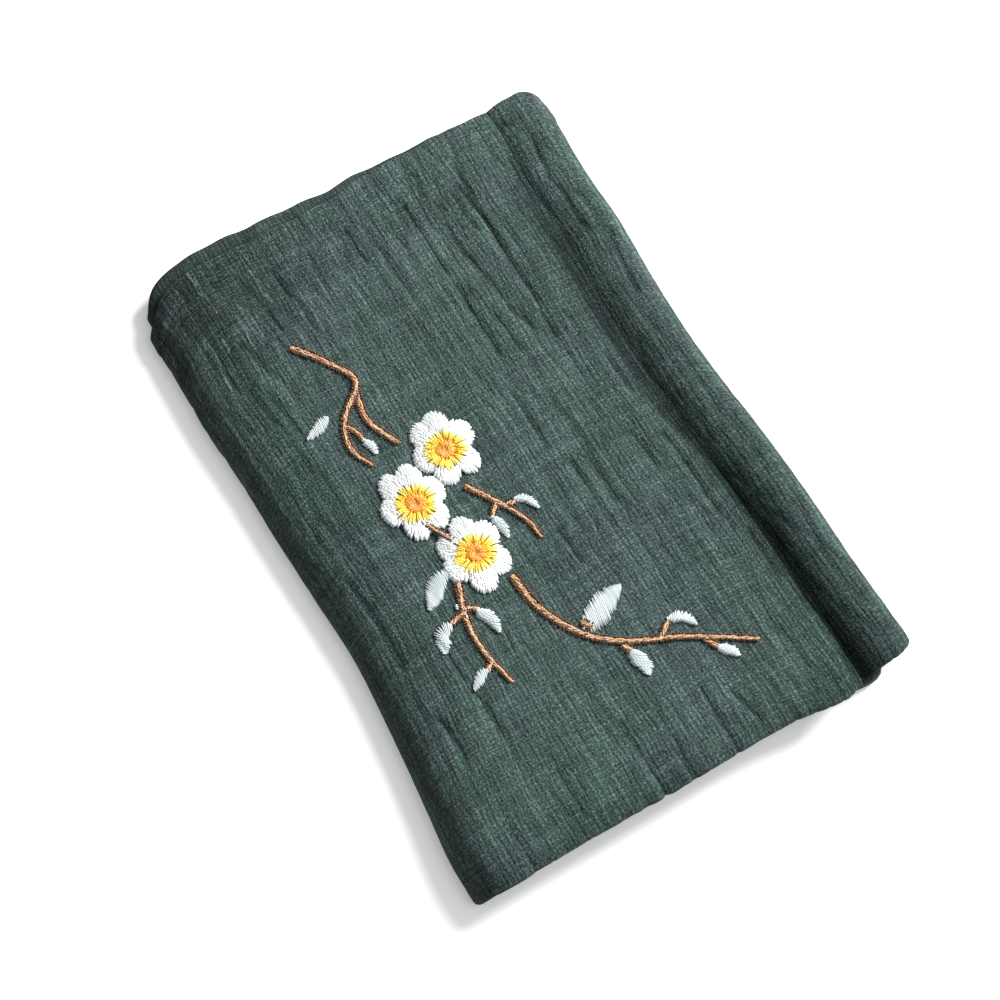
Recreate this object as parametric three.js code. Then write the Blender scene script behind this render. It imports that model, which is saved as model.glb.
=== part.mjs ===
// A small tea towel of crinkled cotton gauze, folded in half and then in three.
//
// Millimetres, +Z up. X runs across the pack, from its round left fold to the raised strip
// on the right, and Y along it, from the doubled near end to the hemmed far end. The pack
// lies flat on z = 0, with the origin in the middle of its base.
//
// The cloth is one sheet. A crosswise fold at the near end doubles it into two leaves, and
// the doubled panel is then folded in three. Seen from the near end, the panel starts at
// its inner edge, runs right at middle height, rises into the strip, turns down round it,
// runs left along the base, turns up round the left fold and ends at its top edge, beside
// the long trough that parts it from the strip.

import * as THREE from 'three';

// The sheet and the air in its folds
const leaf = 1.15;
const leafGap = 0.3;
const panelGap = 0.5;
const panel = 2 * leaf + leafGap;
const halfPanel = panel / 2;
const foldRadius = (leaf + leafGap) / 2;

// Heights of the middle line of the three panels
const baseHeight = halfPanel;
const innerHeight = baseHeight + panel + panelGap;
const topHeight = innerHeight + panel + panelGap;
const stripHeight = 6.95;

// Places across the pack
const innerEdge = -41;
const topEdge = 35.3;
const leftTurn = -45.8;
const stripTurn = 44.25;

// Where the inner panel begins to rise into the strip and where the rise ends, how much the
// pack sinks along the trough, how far the top panel's edge is tucked down into it and how far
// that edge is moved: a soft valley in the far half, and an open step in the near half
const trough = [
  { y: 76, foot: 31.2, shoulder: 39.2, sink: 0.03, tuck: 0.14, edge: 0 },
  { y: 58, foot: 31.2, shoulder: 39.4, sink: 0.06, tuck: 0.3, edge: 0 },
  { y: 40, foot: 31, shoulder: 40, sink: 0.08, tuck: 0.5, edge: 0 },
  { y: 8, foot: 32.5, shoulder: 40.5, sink: 0.1, tuck: 0.7, edge: 0 },
  { y: -12, foot: 34.4, shoulder: 41.6, sink: 0.06, tuck: 0.45, edge: -0.3 },
  { y: -45, foot: 35.2, shoulder: 43, sink: 0, tuck: 0, edge: -0.9 },
  { y: -76, foot: 35.2, shoulder: 42.4, sink: 0.02, tuck: 0, edge: -0.9 },
];
const troughSinkWidth = 4.2;

// The tucked edge: the upper leaf bends down by the drop, and the leaf under it ends sooner
const tuckDrop = 1.2;
const tuckReach = 8;
const tuckBack = 7.5;
const tuckBackReach = 20;

// The bowed long sides: how far each is moved from its straight line, and where the left
// roll begins to fall away
const sides = [
  { y: 76, left: 0.7, right: 1.5, roll: -33 },
  { y: 66, left: 0.4, right: 1.5, roll: -33 },
  { y: 52, left: 0.8, right: 0.5, roll: -33 },
  { y: 38, left: 1, right: 0.5, roll: -33 },
  { y: 24, left: 1.9, right: -0.5, roll: -33 },
  { y: 8, left: 2.4, right: -1.3, roll: -33 },
  { y: -6, left: 3.1, right: -1, roll: -33 },
  { y: -22, left: 3.8, right: -0.1, roll: -33.5 },
  { y: -40, left: 2.8, right: 0.1, roll: -35.5 },
  { y: -54, left: 1.6, right: -0.1, roll: -38.5 },
  { y: -66, left: 0.5, right: 0.2, roll: -41 },
  { y: -76, left: 0.8, right: 0.3, roll: -42 },
];
const sideReach = 40;

// The soft round of the left fold and of the two short ends, as shares of the height
const leftSink = { to: -50, share: 0.5 };
const endSink = { length: 7, share: 0.035 };

// The main creases: soft dips in the pack, each along a line, with the share of the height
// that it takes away
const creases = [
  { x0: 10.5, y0: 54, x1: 10.0, y1: 22, width: 2.6, share: 0.045 },
  { x0: 15.0, y0: 52, x1: 20.0, y1: 18, width: 2.8, share: 0.05 },
  { x0: 23.0, y0: 48, x1: 22.5, y1: 8, width: 2.6, share: 0.04 },
  { x0: 21.0, y0: 8, x1: 25.0, y1: -18, width: 3.0, share: 0.04 },
  { x0: 12.0, y0: -6, x1: 13.0, y1: -24, width: 2.8, share: 0.035 },
  { x0: 30.0, y0: -22, x1: 30.5, y1: -54, width: 2.6, share: 0.04 },
  { x0: -43.0, y0: 52, x1: -40.0, y1: 34, width: 2.6, share: 0.03 },
  { x0: -34.0, y0: 63, x1: 6.0, y1: 61, width: 4.5, share: 0.045 },
  { x0: -12.0, y0: 51, x1: 28.0, y1: 50, width: 6.0, share: 0.035 },
  { x0: -50.0, y0: 72, x1: -30.0, y1: 73, width: 14.0, share: 0.15 },
  { x0: -9.0, y0: -80, x1: -8.0, y1: -68, width: 2.8, share: 0.035 },
  { x0: 9.0, y0: -80, x1: 8.0, y1: -70, width: 2.8, share: 0.025 },
];

// The panel's middle line is made of five stretches, one after the other
const stripTurnRadius = (stripHeight - baseHeight) / 2;
const leftTurnRadius = (topHeight - baseHeight) / 2;
const inner = { start: 0, length: stripTurn - innerEdge };
const strip = { start: inner.length, length: Math.PI * stripTurnRadius };
const base = { start: strip.start + strip.length, length: stripTurn - leftTurn };
const left = { start: base.start + base.length, length: Math.PI * leftTurnRadius };
const top = { start: left.start + left.length, length: topEdge - leftTurn };
const innerAt = (x) => inner.start + x - innerEdge;
const baseAt = (x) => base.start + stripTurn - x;
const topAt = (x) => top.start + x - leftTurn;
const stripSide = strip.start + strip.length / 2;
const leftSide = left.start + left.length / 2;

// Where the panel ends at each place on its middle line: its crosswise fold at the near
// end, and at the far end the hems of the outer and the inner leaf
const ends = [
  { at: innerAt(innerEdge), near: -73.9, outerHem: 68.4, innerHem: 72.0 },
  { at: innerAt(30), near: -74.0, outerHem: 71.6, innerHem: 73.6 },
  { at: innerAt(36.5), near: -74.1, outerHem: 74.0, innerHem: 75.0 },
  { at: innerAt(stripTurn), near: -73.9, outerHem: 74.2, innerHem: 74.8 },
  { at: stripSide, near: -72.4, outerHem: 70.0, innerHem: 71.0 },
  { at: baseAt(44), near: -71.6, outerHem: 71.8, innerHem: 72.8 },
  { at: baseAt(42.4), near: -71.9, outerHem: 71.8, innerHem: 72.9 },
  { at: baseAt(39.9), near: -74.5, outerHem: 71.8, innerHem: 73.0 },
  { at: baseAt(34), near: -74.4, outerHem: 71.6, innerHem: 73.0 },
  { at: baseAt(29), near: -72.8, outerHem: 71.4, innerHem: 73.0 },
  { at: baseAt(-38), near: -72.8, outerHem: 68.0, innerHem: 72.2 },
  { at: leftSide, near: -75.5, outerHem: 61.8, innerHem: 66.6 },
  { at: topAt(-44), near: -76.6, outerHem: 67.6, innerHem: 71.8 },
  { at: topAt(-37), near: -76.3, outerHem: 69.4, innerHem: 73.6 },
  { at: topAt(-26), near: -76.0, outerHem: 69.8, innerHem: 74.3 },
  { at: topAt(-8), near: -75.9, outerHem: 69.6, innerHem: 73.4 },
  { at: topAt(9), near: -75.4, outerHem: 71.8, innerHem: 73.8 },
  { at: topAt(20), near: -75.4, outerHem: 72.6, innerHem: 74.0 },
  { at: topAt(30), near: -76.5, outerHem: 73.2, innerHem: 74.0 },
  { at: topAt(topEdge), near: -75.1, outerHem: 73.4, innerHem: 74.2 },
];

// Steps of the mesh along each stretch, along a leaf and round the crosswise fold
const innerSteps = 6;
const riseSteps = 6;
const turnSteps = 7;
const baseSteps = 6;
const notchSteps = 6;
const notchReach = 28;
const topStep = 3.2;
const leafSteps = 14;
const foldSteps = 5;
const riseStart = 32;

const smooth = (f) => THREE.MathUtils.smoothstep(f, 0, 1);

// A soft curve through one column of a table whose rows go up or down in another column
function follow(rows, key, column, at) {
  const up = rows[rows.length - 1][key] > rows[0][key];
  const line = up ? rows : [...rows].reverse();
  const last = line.length - 1;
  if (at <= line[0][key]) return line[0][column];
  if (at >= line[last][key]) return line[last][column];
  const i = line.findIndex((row) => row[key] > at) - 1;
  const slope = (a, b) => (line[b][column] - line[a][column]) / (line[b][key] - line[a][key]);
  const span = line[i + 1][key] - line[i][key];
  const f = (at - line[i][key]) / span;
  const leave = slope(Math.max(i - 1, 0), i + 1) * span;
  const arrive = slope(i, Math.min(i + 2, last)) * span;
  const a = line[i][column];
  const b = line[i + 1][column];
  return (
    a * (1 + 2 * f) * (1 - f) ** 2 +
    leave * f * (1 - f) ** 2 +
    b * f * f * (3 - 2 * f) +
    arrive * f * f * (f - 1)
  );
}

// The middle line at a distance along it, with the way that faces out of the pack
function middleLine(at, y) {
  if (at < strip.start) {
    const x = innerEdge + at;
    const foot = follow(trough, 'y', 'foot', y);
    const width = follow(trough, 'y', 'shoulder', y) - foot;
    const f = THREE.MathUtils.clamp((x - foot) / width, 0, 1);
    const rise = stripHeight - innerHeight;
    const slope = (rise * 6 * f * (1 - f)) / width;
    const out = new THREE.Vector2(-slope, 1).normalize();
    return { x, z: innerHeight + rise * smooth(f), out };
  }
  if (at < base.start) return turn(stripTurn, stripTurnRadius, Math.PI / 2, at - strip.start);
  if (at < left.start) {
    return { x: stripTurn - (at - base.start), z: baseHeight, out: new THREE.Vector2(0, -1) };
  }
  if (at < top.start) return turn(leftTurn, leftTurnRadius, -Math.PI / 2, at - left.start);
  return { x: leftTurn + (at - top.start), z: topHeight, out: new THREE.Vector2(0, 1) };
}

// A point on a half circle that stands on the base panel's middle line
function turn(centre, radius, from, along) {
  const angle = from - along / radius;
  const out = new THREE.Vector2(Math.cos(angle), Math.sin(angle));
  return { x: centre + radius * out.x, z: baseHeight + radius + radius * out.y, out };
}

// How much of the height is left at a place on the pack
function heightShare(x, y, near, far) {
  let sunk = 0;
  for (const crease of creases) {
    const line = new THREE.Line3(
      new THREE.Vector3(crease.x0, crease.y0, 0),
      new THREE.Vector3(crease.x1, crease.y1, 0),
    );
    const here = new THREE.Vector3(x, y, 0);
    const nearest = line.closestPointToPoint(here, true, new THREE.Vector3());
    sunk += crease.share * Math.exp(-((here.distanceTo(nearest) / crease.width) ** 2));
  }
  const fromTrough = (x - topEdge) / troughSinkWidth;
  sunk += follow(trough, 'y', 'sink', y) * Math.exp(-(fromTrough ** 2));
  const roll = follow(sides, 'y', 'roll', y);
  const rolled = THREE.MathUtils.clamp((roll - x) / (roll - leftSink.to), 0, 1);
  sunk += leftSink.share * rolled ** 2;
  sunk += endSink.share * (1 - smooth(Math.min(y - near, far - y) / endSink.length));
  return 1 - sunk;
}

// How far the bowed sides move a place on the pack
function sideShift(x, y) {
  const left = smooth((leftTurn - x) / sideReach + 1);
  const right = smooth((x - stripTurn) / sideReach + 1);
  return left * follow(sides, 'y', 'left', y) + right * follow(sides, 'y', 'right', y);
}

// How the top panel's edge is tucked into the trough: how far a point goes down or back.
// Over is 1 on the upper leaf and -1 on the leaf under it
function tuck(at, y, over) {
  if (at < top.start) return { down: 0, back: 0, edge: 0 };
  const x = leftTurn + at - top.start - topEdge;
  const share = THREE.MathUtils.clamp(follow(trough, 'y', 'tuck', y), 0, 1);
  const back = THREE.MathUtils.clamp(x / tuckBackReach + 1, 0, 1) * tuckBack;
  const backShare = Math.min(2.5 * share, 1);
  const down = smooth(x / tuckReach + 1) * tuckDrop;
  return {
    down: share * down * Math.max(over, 0),
    back: backShare * back * Math.max(-over, 0),
    edge: follow(trough, 'y', 'edge', y) * smooth(x / tuckReach + 1),
  };
}

// A point of the folded sheet. Station says where it is on the leaves and side on which
// face of the sheet: 1 the face that is outside, -1 the face that is folded in.
function place(at, station, side) {
  const near = follow(ends, 'at', 'near', at);
  const outerHem = follow(ends, 'at', 'outerHem', at);
  const innerHem = follow(ends, 'at', 'innerHem', at);
  const foldLine = near + halfPanel;
  const off = foldRadius + (side * leaf) / 2;
  let y = foldLine - off * Math.sin(Math.PI * station.f);
  let over = Math.cos(Math.PI * station.f);
  if (station.on === 'outer') {
    y = THREE.MathUtils.lerp(outerHem, foldLine, station.f);
    over = 1;
  }
  if (station.on === 'inner') {
    y = THREE.MathUtils.lerp(foldLine, innerHem, station.f);
    over = -1;
  }
  const n = off * over;
  const { x, z, out } = middleLine(at, y);
  const { down, back, edge } = tuck(at, y, over);
  const across = x + n * out.x - back + edge;
  const up = z + n * out.y - down;
  return new THREE.Vector3(
    across + sideShift(across, y),
    y,
    up * heightShare(across, y, near, innerHem),
  );
}

// The places along the middle line where the mesh has a row of points
function alongPanel() {
  const rows = [];
  const add = (from, to, steps) => {
    for (let i = 0; i < steps; i += 1) rows.push(from + ((to - from) * i) / steps);
  };
  add(0, innerAt(riseStart), innerSteps);
  add(innerAt(riseStart), strip.start, riseSteps);
  add(strip.start, base.start, turnSteps);
  add(base.start, baseAt(notchReach), notchSteps);
  add(baseAt(notchReach), left.start, baseSteps);
  add(left.start, top.start, turnSteps);
  add(top.start, top.start + top.length, Math.round(top.length / topStep));
  rows.push(top.start + top.length);
  return rows;
}

// The places from the outer leaf's hem, round the crosswise fold, to the inner leaf's hem
function acrossLeaves() {
  const stations = [];
  for (let i = 0; i < leafSteps; i += 1) stations.push({ on: 'outer', f: i / leafSteps });
  for (let i = 0; i < foldSteps; i += 1) stations.push({ on: 'fold', f: i / foldSteps });
  for (let i = 0; i <= leafSteps; i += 1) stations.push({ on: 'inner', f: i / leafSteps });
  return stations;
}

// The sheet as one closed body: two faces of points, closed along the sheet's four edges
function foldedSheet() {
  const rows = alongPanel();
  const stations = acrossLeaves();
  const positions = [];
  for (const side of [1, -1]) {
    for (const at of rows) {
      for (const station of stations) positions.push(...place(at, station, side).toArray());
    }
  }
  const count = stations.length;
  const outside = (i, j) => i * count + j;
  const inside = (i, j) => (rows.length + i) * count + j;
  const index = [];
  const quad = (a, b, c, d) => index.push(a, b, c, a, c, d);
  for (let i = 0; i + 1 < rows.length; i += 1) {
    for (let j = 0; j + 1 < count; j += 1) {
      quad(outside(i, j), outside(i, j + 1), outside(i + 1, j + 1), outside(i + 1, j));
      quad(inside(i, j), inside(i + 1, j), inside(i + 1, j + 1), inside(i, j + 1));
    }
    quad(outside(i, 0), outside(i + 1, 0), inside(i + 1, 0), inside(i, 0));
    const end = count - 1;
    quad(outside(i + 1, end), outside(i, end), inside(i, end), inside(i + 1, end));
  }
  const lastRow = rows.length - 1;
  for (let j = 0; j + 1 < count; j += 1) {
    quad(outside(0, j + 1), outside(0, j), inside(0, j), inside(0, j + 1));
    quad(outside(lastRow, j), outside(lastRow, j + 1), inside(lastRow, j + 1), inside(lastRow, j));
  }
  const geometry = new THREE.BufferGeometry();
  geometry.setAttribute('position', new THREE.Float32BufferAttribute(positions, 3));
  geometry.setIndex(index);
  geometry.computeVertexNormals();
  return geometry;
}

// Stands a geometry on z = 0 with the middle of its box over the origin
function standOnOrigin(geometry) {
  geometry.computeBoundingBox();
  const centre = geometry.boundingBox.getCenter(new THREE.Vector3());
  geometry.translate(-centre.x, -centre.y, 0);
  return geometry;
}

const gauze = new THREE.MeshStandardMaterial({
  color: '#4d5f5a',
  roughness: 0.95,
  metalness: 0,
  side: THREE.DoubleSide,
});

const towel = new THREE.Mesh(standOnOrigin(foldedSheet()), gauze);
towel.name = 'towel';

const teaTowel = new THREE.Group();
teaTowel.add(towel);

export default teaTowel;
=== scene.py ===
# %% [markdown]
# # A folded tea towel of crinkled gauze
#
# The object is one piece of dark slate-green cotton gauze, doubled crosswise and then folded
# in three, so that six leaves lie on each other. A spray of white blossom is embroidered on
# the leaf that ends on top. The packed CAD part already holds the true folded shape as a
# solid with few faces. This scene makes the same folded sheet again with a fine mesh, so that
# the crinkles of the gauze, its thick hems and its stitches can be real shapes.
#
# Sizes are written in millimetres and turned into metres when a mesh is made.

# %% Load the packed part
import math
import random

import bmesh
import bpy
from mathutils import Matrix, Vector, noise
from mathutils.bvhtree import BVHTree


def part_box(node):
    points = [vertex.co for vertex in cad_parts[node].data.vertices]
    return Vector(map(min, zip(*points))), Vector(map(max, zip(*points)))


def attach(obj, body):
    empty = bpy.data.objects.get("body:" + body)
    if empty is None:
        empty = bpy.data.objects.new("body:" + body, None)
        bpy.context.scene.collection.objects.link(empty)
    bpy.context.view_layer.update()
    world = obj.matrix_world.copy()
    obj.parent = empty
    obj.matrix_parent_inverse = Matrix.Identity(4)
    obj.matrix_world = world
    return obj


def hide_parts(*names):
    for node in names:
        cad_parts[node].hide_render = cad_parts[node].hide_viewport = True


MM = 0.001
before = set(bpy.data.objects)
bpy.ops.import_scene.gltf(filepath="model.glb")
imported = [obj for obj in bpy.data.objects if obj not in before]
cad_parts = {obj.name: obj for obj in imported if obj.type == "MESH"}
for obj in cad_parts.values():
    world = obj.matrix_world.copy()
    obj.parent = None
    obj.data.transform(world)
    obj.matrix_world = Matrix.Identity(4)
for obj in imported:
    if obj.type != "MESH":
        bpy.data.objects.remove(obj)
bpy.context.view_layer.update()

# %% [markdown]
# ## The camera
#
# The towel lies flat and is seen from above its near left corner, a little turned, with a
# long lens. The view was found by fitting the four corners of the pack, and it is kept here
# as a point on the pack that the camera looks at, a direction and a distance.

# %% Camera
LOOK_AT = Vector((-5.39, -6.1, 4.5)) * MM
CAMERA_DISTANCE = 427.65 * MM
CAMERA_AZIMUTH = math.radians(29.64)
CAMERA_ELEVATION = math.radians(65.0)
LENS = 77.4
SENSOR = 36.0
NEAREST_SEEN = 0.01


def aim(thing, place, away):
    """Puts a camera or lamp at a place, facing against the direction away."""
    thing.location = place
    thing.rotation_mode = "QUATERNION"
    thing.rotation_quaternion = (-away).to_track_quat("-Z", "Y")
    bpy.context.scene.collection.objects.link(thing)


def make_camera():
    level = math.cos(CAMERA_ELEVATION)
    away = Vector(
        (
            -math.sin(CAMERA_AZIMUTH) * level,
            -math.cos(CAMERA_AZIMUTH) * level,
            math.sin(CAMERA_ELEVATION),
        )
    )
    data = bpy.data.cameras.new("camera")
    data.lens = LENS
    data.sensor_width = SENSOR
    data.clip_start = NEAREST_SEEN
    camera = bpy.data.objects.new("camera", data)
    aim(camera, LOOK_AT + away * CAMERA_DISTANCE, away)
    bpy.context.scene.camera = camera
    return camera


camera = make_camera()
print("camera at", [round(c, 4) for c in camera.location])

# %% [markdown]
# ## The floor
#
# A pale seamless table carries the towel. One plane is enough for it, and it is large, so that its
# end is far away in low views too. The table glows a little: this glow is painted light, which
# keeps the towel's own shadow on it faint.

# %% Floor
TABLE_HALF = 6.0
TABLE_WHITE = (0.9, 0.9, 0.9, 1.0)
TABLE_GLOW = 0.3
WHITE = (1.0, 1.0, 1.0, 1.0)


def take_mesh(work, name):
    """The mesh of a finished bmesh."""
    mesh = bpy.data.meshes.new(name)
    work.to_mesh(mesh)
    work.free()
    return mesh


def join_scene(name, mesh):
    thing = bpy.data.objects.new(name, mesh)
    bpy.context.scene.collection.objects.link(thing)
    return thing


def new_finish(name):
    """A new material and its shader."""
    finish = bpy.data.materials.new(name)
    finish.use_nodes = True
    return finish, finish.node_tree.nodes["Principled BSDF"]


def make_floor():
    work = bmesh.new()
    bmesh.ops.create_grid(work, x_segments=1, y_segments=1, size=TABLE_HALF)
    mesh = take_mesh(work, "table")
    paint, shader = new_finish("pale_table")
    shader.inputs["Base Color"].default_value = TABLE_WHITE
    shader.inputs["Roughness"].default_value = 0.9
    # The glow is painted light: it lifts the towel's shadow on the table.
    shader.inputs["Emission Color"].default_value = WHITE
    shader.inputs["Emission Strength"].default_value = TABLE_GLOW
    mesh.materials.append(paint)
    floor = join_scene("table", mesh)


make_floor()
print("the table is", 2 * TABLE_HALF, "m wide")

# %% [markdown]
# ## The light
#
# Large soft lamps, as in a plain studio. The main lamp stands low on the right, so the left
# fold falls into shade and the crinkles, which run along the pack, are lit from the side. Area
# lamps are used because their size sets how soft the shadows in the creases are, and a white
# sky fills what is left.

# %% Light
LAMPS = [
    {"name": "main_lamp", "way": (0.9, 0.15, 0.6), "distance": 1.4, "size": 0.6, "power": 44.0},
    {"name": "fill_lamp", "way": (0.5, -0.4, 1.0), "distance": 1.6, "size": 1.4, "power": 7.0},
]
SKY_STRENGTH = 0.21


def make_lamp(row):
    data = bpy.data.lights.new(row["name"], "AREA")
    data.shape = "DISK"
    data.size = row["size"]
    data.energy = row["power"]
    away = Vector(row["way"]).normalized()
    aim(bpy.data.objects.new(row["name"], data), away * row["distance"], away)


def make_sky():
    world = bpy.data.worlds.new("studio")
    world.use_nodes = True
    sky = world.node_tree.nodes["Background"]
    sky.inputs["Color"].default_value = WHITE
    sky.inputs["Strength"].default_value = SKY_STRENGTH
    bpy.context.scene.world = world
    bpy.context.scene.view_settings.view_transform = "Standard"


for row in LAMPS:
    make_lamp(row)
make_sky()
print("lamps:", [row["name"] for row in LAMPS])

# %% [markdown]
# ## The sheet's sizes
#
# A real towel is one flat cloth. It is doubled into two leaves by a crosswise fold at the near
# end, and the doubled panel is then folded in three: inner panel, raised strip, base panel,
# round left fold and top panel. The part's source gives the path of that panel, and the same
# named sizes are repeated here, because a fold has to be described before it can be made.
# The cloth is drawn a little thinner than the solid, with its outer face in the same place,
# so that crinkles can sink into it without touching the leaf below.

# %% Sheet sizes
LEAF = 1.15
LEAF_GAP = 0.3
PANEL_GAP = 0.5
HALF_PANEL = (2 * LEAF + LEAF_GAP) / 2
CLOTH = 0.75
HEM_CLOTH = 1.25
HEM = 4.6
LEAF_LENGTH = 146.0
CLOTH_OFF = HALF_PANEL - CLOTH / 2
BASE_HEIGHT = HALF_PANEL
INNER_HEIGHT = BASE_HEIGHT + 2 * HALF_PANEL + PANEL_GAP
TOP_HEIGHT = INNER_HEIGHT + 2 * HALF_PANEL + PANEL_GAP
STRIP_HEIGHT = 6.95
INNER_EDGE = -41.0
TOP_EDGE = 35.3
LEFT_TURN = -45.8
STRIP_TURN = 44.25
STRIP_RADIUS = (STRIP_HEIGHT - BASE_HEIGHT) / 2
LEFT_RADIUS = (TOP_HEIGHT - BASE_HEIGHT) / 2

STRIP_START = STRIP_TURN - INNER_EDGE
BASE_START = STRIP_START + math.pi * STRIP_RADIUS
LEFT_START = BASE_START + STRIP_TURN - LEFT_TURN
TOP_START = LEFT_START + math.pi * LEFT_RADIUS
PANEL_LENGTH = TOP_START + TOP_EDGE - LEFT_TURN


def inner_at(x):
    return x - INNER_EDGE


def base_at(x):
    return BASE_START + STRIP_TURN - x


def top_at(x):
    return TOP_START + x - LEFT_TURN


STRIP_SEEN = inner_at(33)
print(f"the panel is {PANEL_LENGTH:.1f} mm along its path")

# %% [markdown]
# ## Tables and soft curves
#
# Nothing on the pack is straight, so its shape is kept in short tables, with one row for each place
# where something changes. A soft curve goes through each column, and a bell fades out whatever is
# strongest at one place. A sculpted mesh would hold the same shape, but nobody could read or change
# it.


# %% Tables and soft curves
def make_rows(columns, *rows):
    """A table: rows of values under named columns."""
    return [dict(zip(columns.split(), row)) for row in rows]


def limit(f):
    """The value kept between 0 and 1."""
    return min(max(f, 0.0), 1.0)


def smooth(f):
    f = limit(f)
    return f * f * (3 - 2 * f)


def mix(a, b, f):
    return a + (b - a) * f


def bell(away, width):
    """1 at no distance, falling softly to 0 past the width."""
    return math.exp(-((away / width) ** 2))


def follow(rows, key, column, at):
    """A soft curve through one column of a table whose rows go up or down in another column."""
    line = rows if rows[-1][key] > rows[0][key] else rows[::-1]
    if at <= line[0][key]:
        return line[0][column]
    if at >= line[-1][key]:
        return line[-1][column]
    i = next(n for n, row in enumerate(line) if row[key] > at) - 1

    def slope(a, b):
        return (line[b][column] - line[a][column]) / (line[b][key] - line[a][key])

    span = line[i + 1][key] - line[i][key]
    f = (at - line[i][key]) / span
    leave = slope(max(i - 1, 0), i + 1) * span
    arrive = slope(i, min(i + 2, len(line) - 1)) * span
    a = line[i][column]
    b = line[i + 1][column]
    start = a * (1 + 2 * f) * (1 - f) ** 2 + leave * f * (1 - f) ** 2
    return start + b * f * f * (3 - 2 * f) + arrive * f * f * (f - 1)


def from_segment(x, y, row):
    """The distance of a point from a table row's line."""
    dx = row["x1"] - row["x0"]
    dy = row["y1"] - row["y0"]
    f = limit(((x - row["x0"]) * dx + (y - row["y0"]) * dy) / (dx * dx + dy * dy))
    return math.hypot(x - row["x0"] - f * dx, y - row["y0"] - f * dy)


print("halfway up a soft curve:", smooth(0.5))

# %% [markdown]
# ## The trough and the long sides
#
# Between the strip and the top panel runs a trough. At the far end it is a soft valley under
# the tucked edge of the top panel, and towards the near end the edge stands free of it. The
# long sides bow in and out by a few millimetres. Each row is one place along the pack. Foot
# and shoulder are where the slope up to the strip starts and ends, sink says how much the pack
# gives there, tuck how firmly the edge is pushed down, and edge moves it across. Left and
# right move the long sides, and roll is where the top starts to round off to the left.

# %% The trough and the long sides
TROUGH = make_rows(
    "y foot shoulder sink tuck edge",
    (76, 31.2, 39.2, 0.03, 0.14, 0.0),
    (58, 31.2, 39.4, 0.06, 0.3, 0.0),
    (40, 31.0, 40.0, 0.08, 0.5, 0.0),
    (8, 32.5, 40.5, 0.1, 0.7, 0.0),
    (-12, 34.4, 41.6, 0.06, 0.45, -0.3),
    (-45, 35.2, 43.0, 0.0, 0.0, -0.9),
    (-76, 35.2, 42.4, 0.02, 0.0, -0.9),
)
TROUGH_SINK_WIDTH = 4.2
TUCK = {
    "drop": 2.2,
    "reach": 8.0,
    "back": 7.5,
    "back_reach": 20.0,
    "back_rise": 2.5,
    "thinner": 0.4,
}
SIDES = make_rows(
    "y left right roll",
    (76, 0.7, 1.5, -33),
    (66, 0.4, 1.5, -33),
    (52, 0.8, 0.5, -33),
    (38, 1.0, 0.5, -33),
    (24, 1.9, -0.5, -33),
    (8, 2.4, -1.3, -33),
    (-6, 3.1, -1.0, -33),
    (-22, 3.8, -0.1, -33.5),
    (-40, 2.8, 0.1, -35.5),
    (-54, 1.6, -0.1, -38.5),
    (-66, 0.5, 0.2, -41),
    (-76, 0.8, 0.3, -42),
)
SIDE_REACH = 40.0
LEFT_SINK = {"to": -50.0, "share": 0.5}
print("trough rows:", len(TROUGH), "side rows:", len(SIDES))

# %% [markdown]
# ## The creases and the ends
#
# Wide, shallow creases cross the top where the cloth was pressed by hand. Each one is a line
# on which the pack keeps a little less of its height. The leaves end a little apart from each
# other, so both hems show at the far end, and the rounds of the crosswise fold at the near
# end aren't in one line either. The rows of the ends go along the panel's path.

# %% The creases and the ends
CREASES = make_rows(
    "x0 y0 x1 y1 width share",
    (10.5, 54, 10.0, 22, 2.6, 0.045),
    (15.0, 52, 20.0, 18, 2.8, 0.05),
    (23.0, 48, 22.5, 8, 2.6, 0.04),
    (21.0, 8, 25.0, -18, 3.0, 0.04),
    (12.0, -6, 13.0, -24, 2.8, 0.035),
    (30.0, -22, 30.5, -54, 2.6, 0.04),
    (-43.0, 52, -40.0, 34, 2.6, 0.015),
    (-34.0, 63, 6.0, 61, 4.5, 0.045),
    (-12.0, 51, 28.0, 50, 6.0, 0.035),
    (-50.0, 72, -30.0, 73, 14.0, 0.15),
    (-9.0, -80, -8.0, -68, 2.8, 0.035),
    (9.0, -80, 8.0, -70, 2.8, 0.025),
)
END_SINK = {"length": 7.0, "share": 0.035}
ENDS = make_rows(
    "at near outer_hem inner_hem",
    (inner_at(INNER_EDGE), -73.9, 68.4, 72.0),
    (inner_at(30), -74.0, 71.6, 73.6),
    (inner_at(36.5), -74.1, 74.0, 75.0),
    (inner_at(STRIP_TURN), -73.9, 74.2, 74.8),
    ((STRIP_START + BASE_START) / 2, -72.4, 70.0, 71.0),
    (base_at(44), -71.6, 71.8, 72.8),
    (base_at(42.4), -71.9, 71.8, 72.9),
    (base_at(39.9), -74.5, 71.8, 73.0),
    (base_at(34), -74.4, 71.6, 73.0),
    (base_at(29), -72.8, 71.4, 73.0),
    (base_at(-38), -72.8, 68.0, 72.2),
    ((LEFT_START + TOP_START) / 2, -75.5, 61.8, 66.6),
    (top_at(-44), -76.6, 67.6, 71.8),
    (top_at(-37), -76.3, 69.4, 73.6),
    (top_at(-26), -76.0, 69.8, 74.3),
    (top_at(-8), -75.9, 69.6, 73.4),
    (top_at(9), -75.4, 71.8, 73.8),
    (top_at(20), -75.4, 72.6, 74.0),
    (top_at(30), -76.5, 73.2, 74.0),
    (top_at(TOP_EDGE), -75.1, 73.4, 74.2),
)
HEM_WAVE = {"length": 6.5, "reach": 0.6, "place": (5.0, 6.1)}
print("creases:", len(CREASES), "end rows:", len(ENDS))

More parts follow.
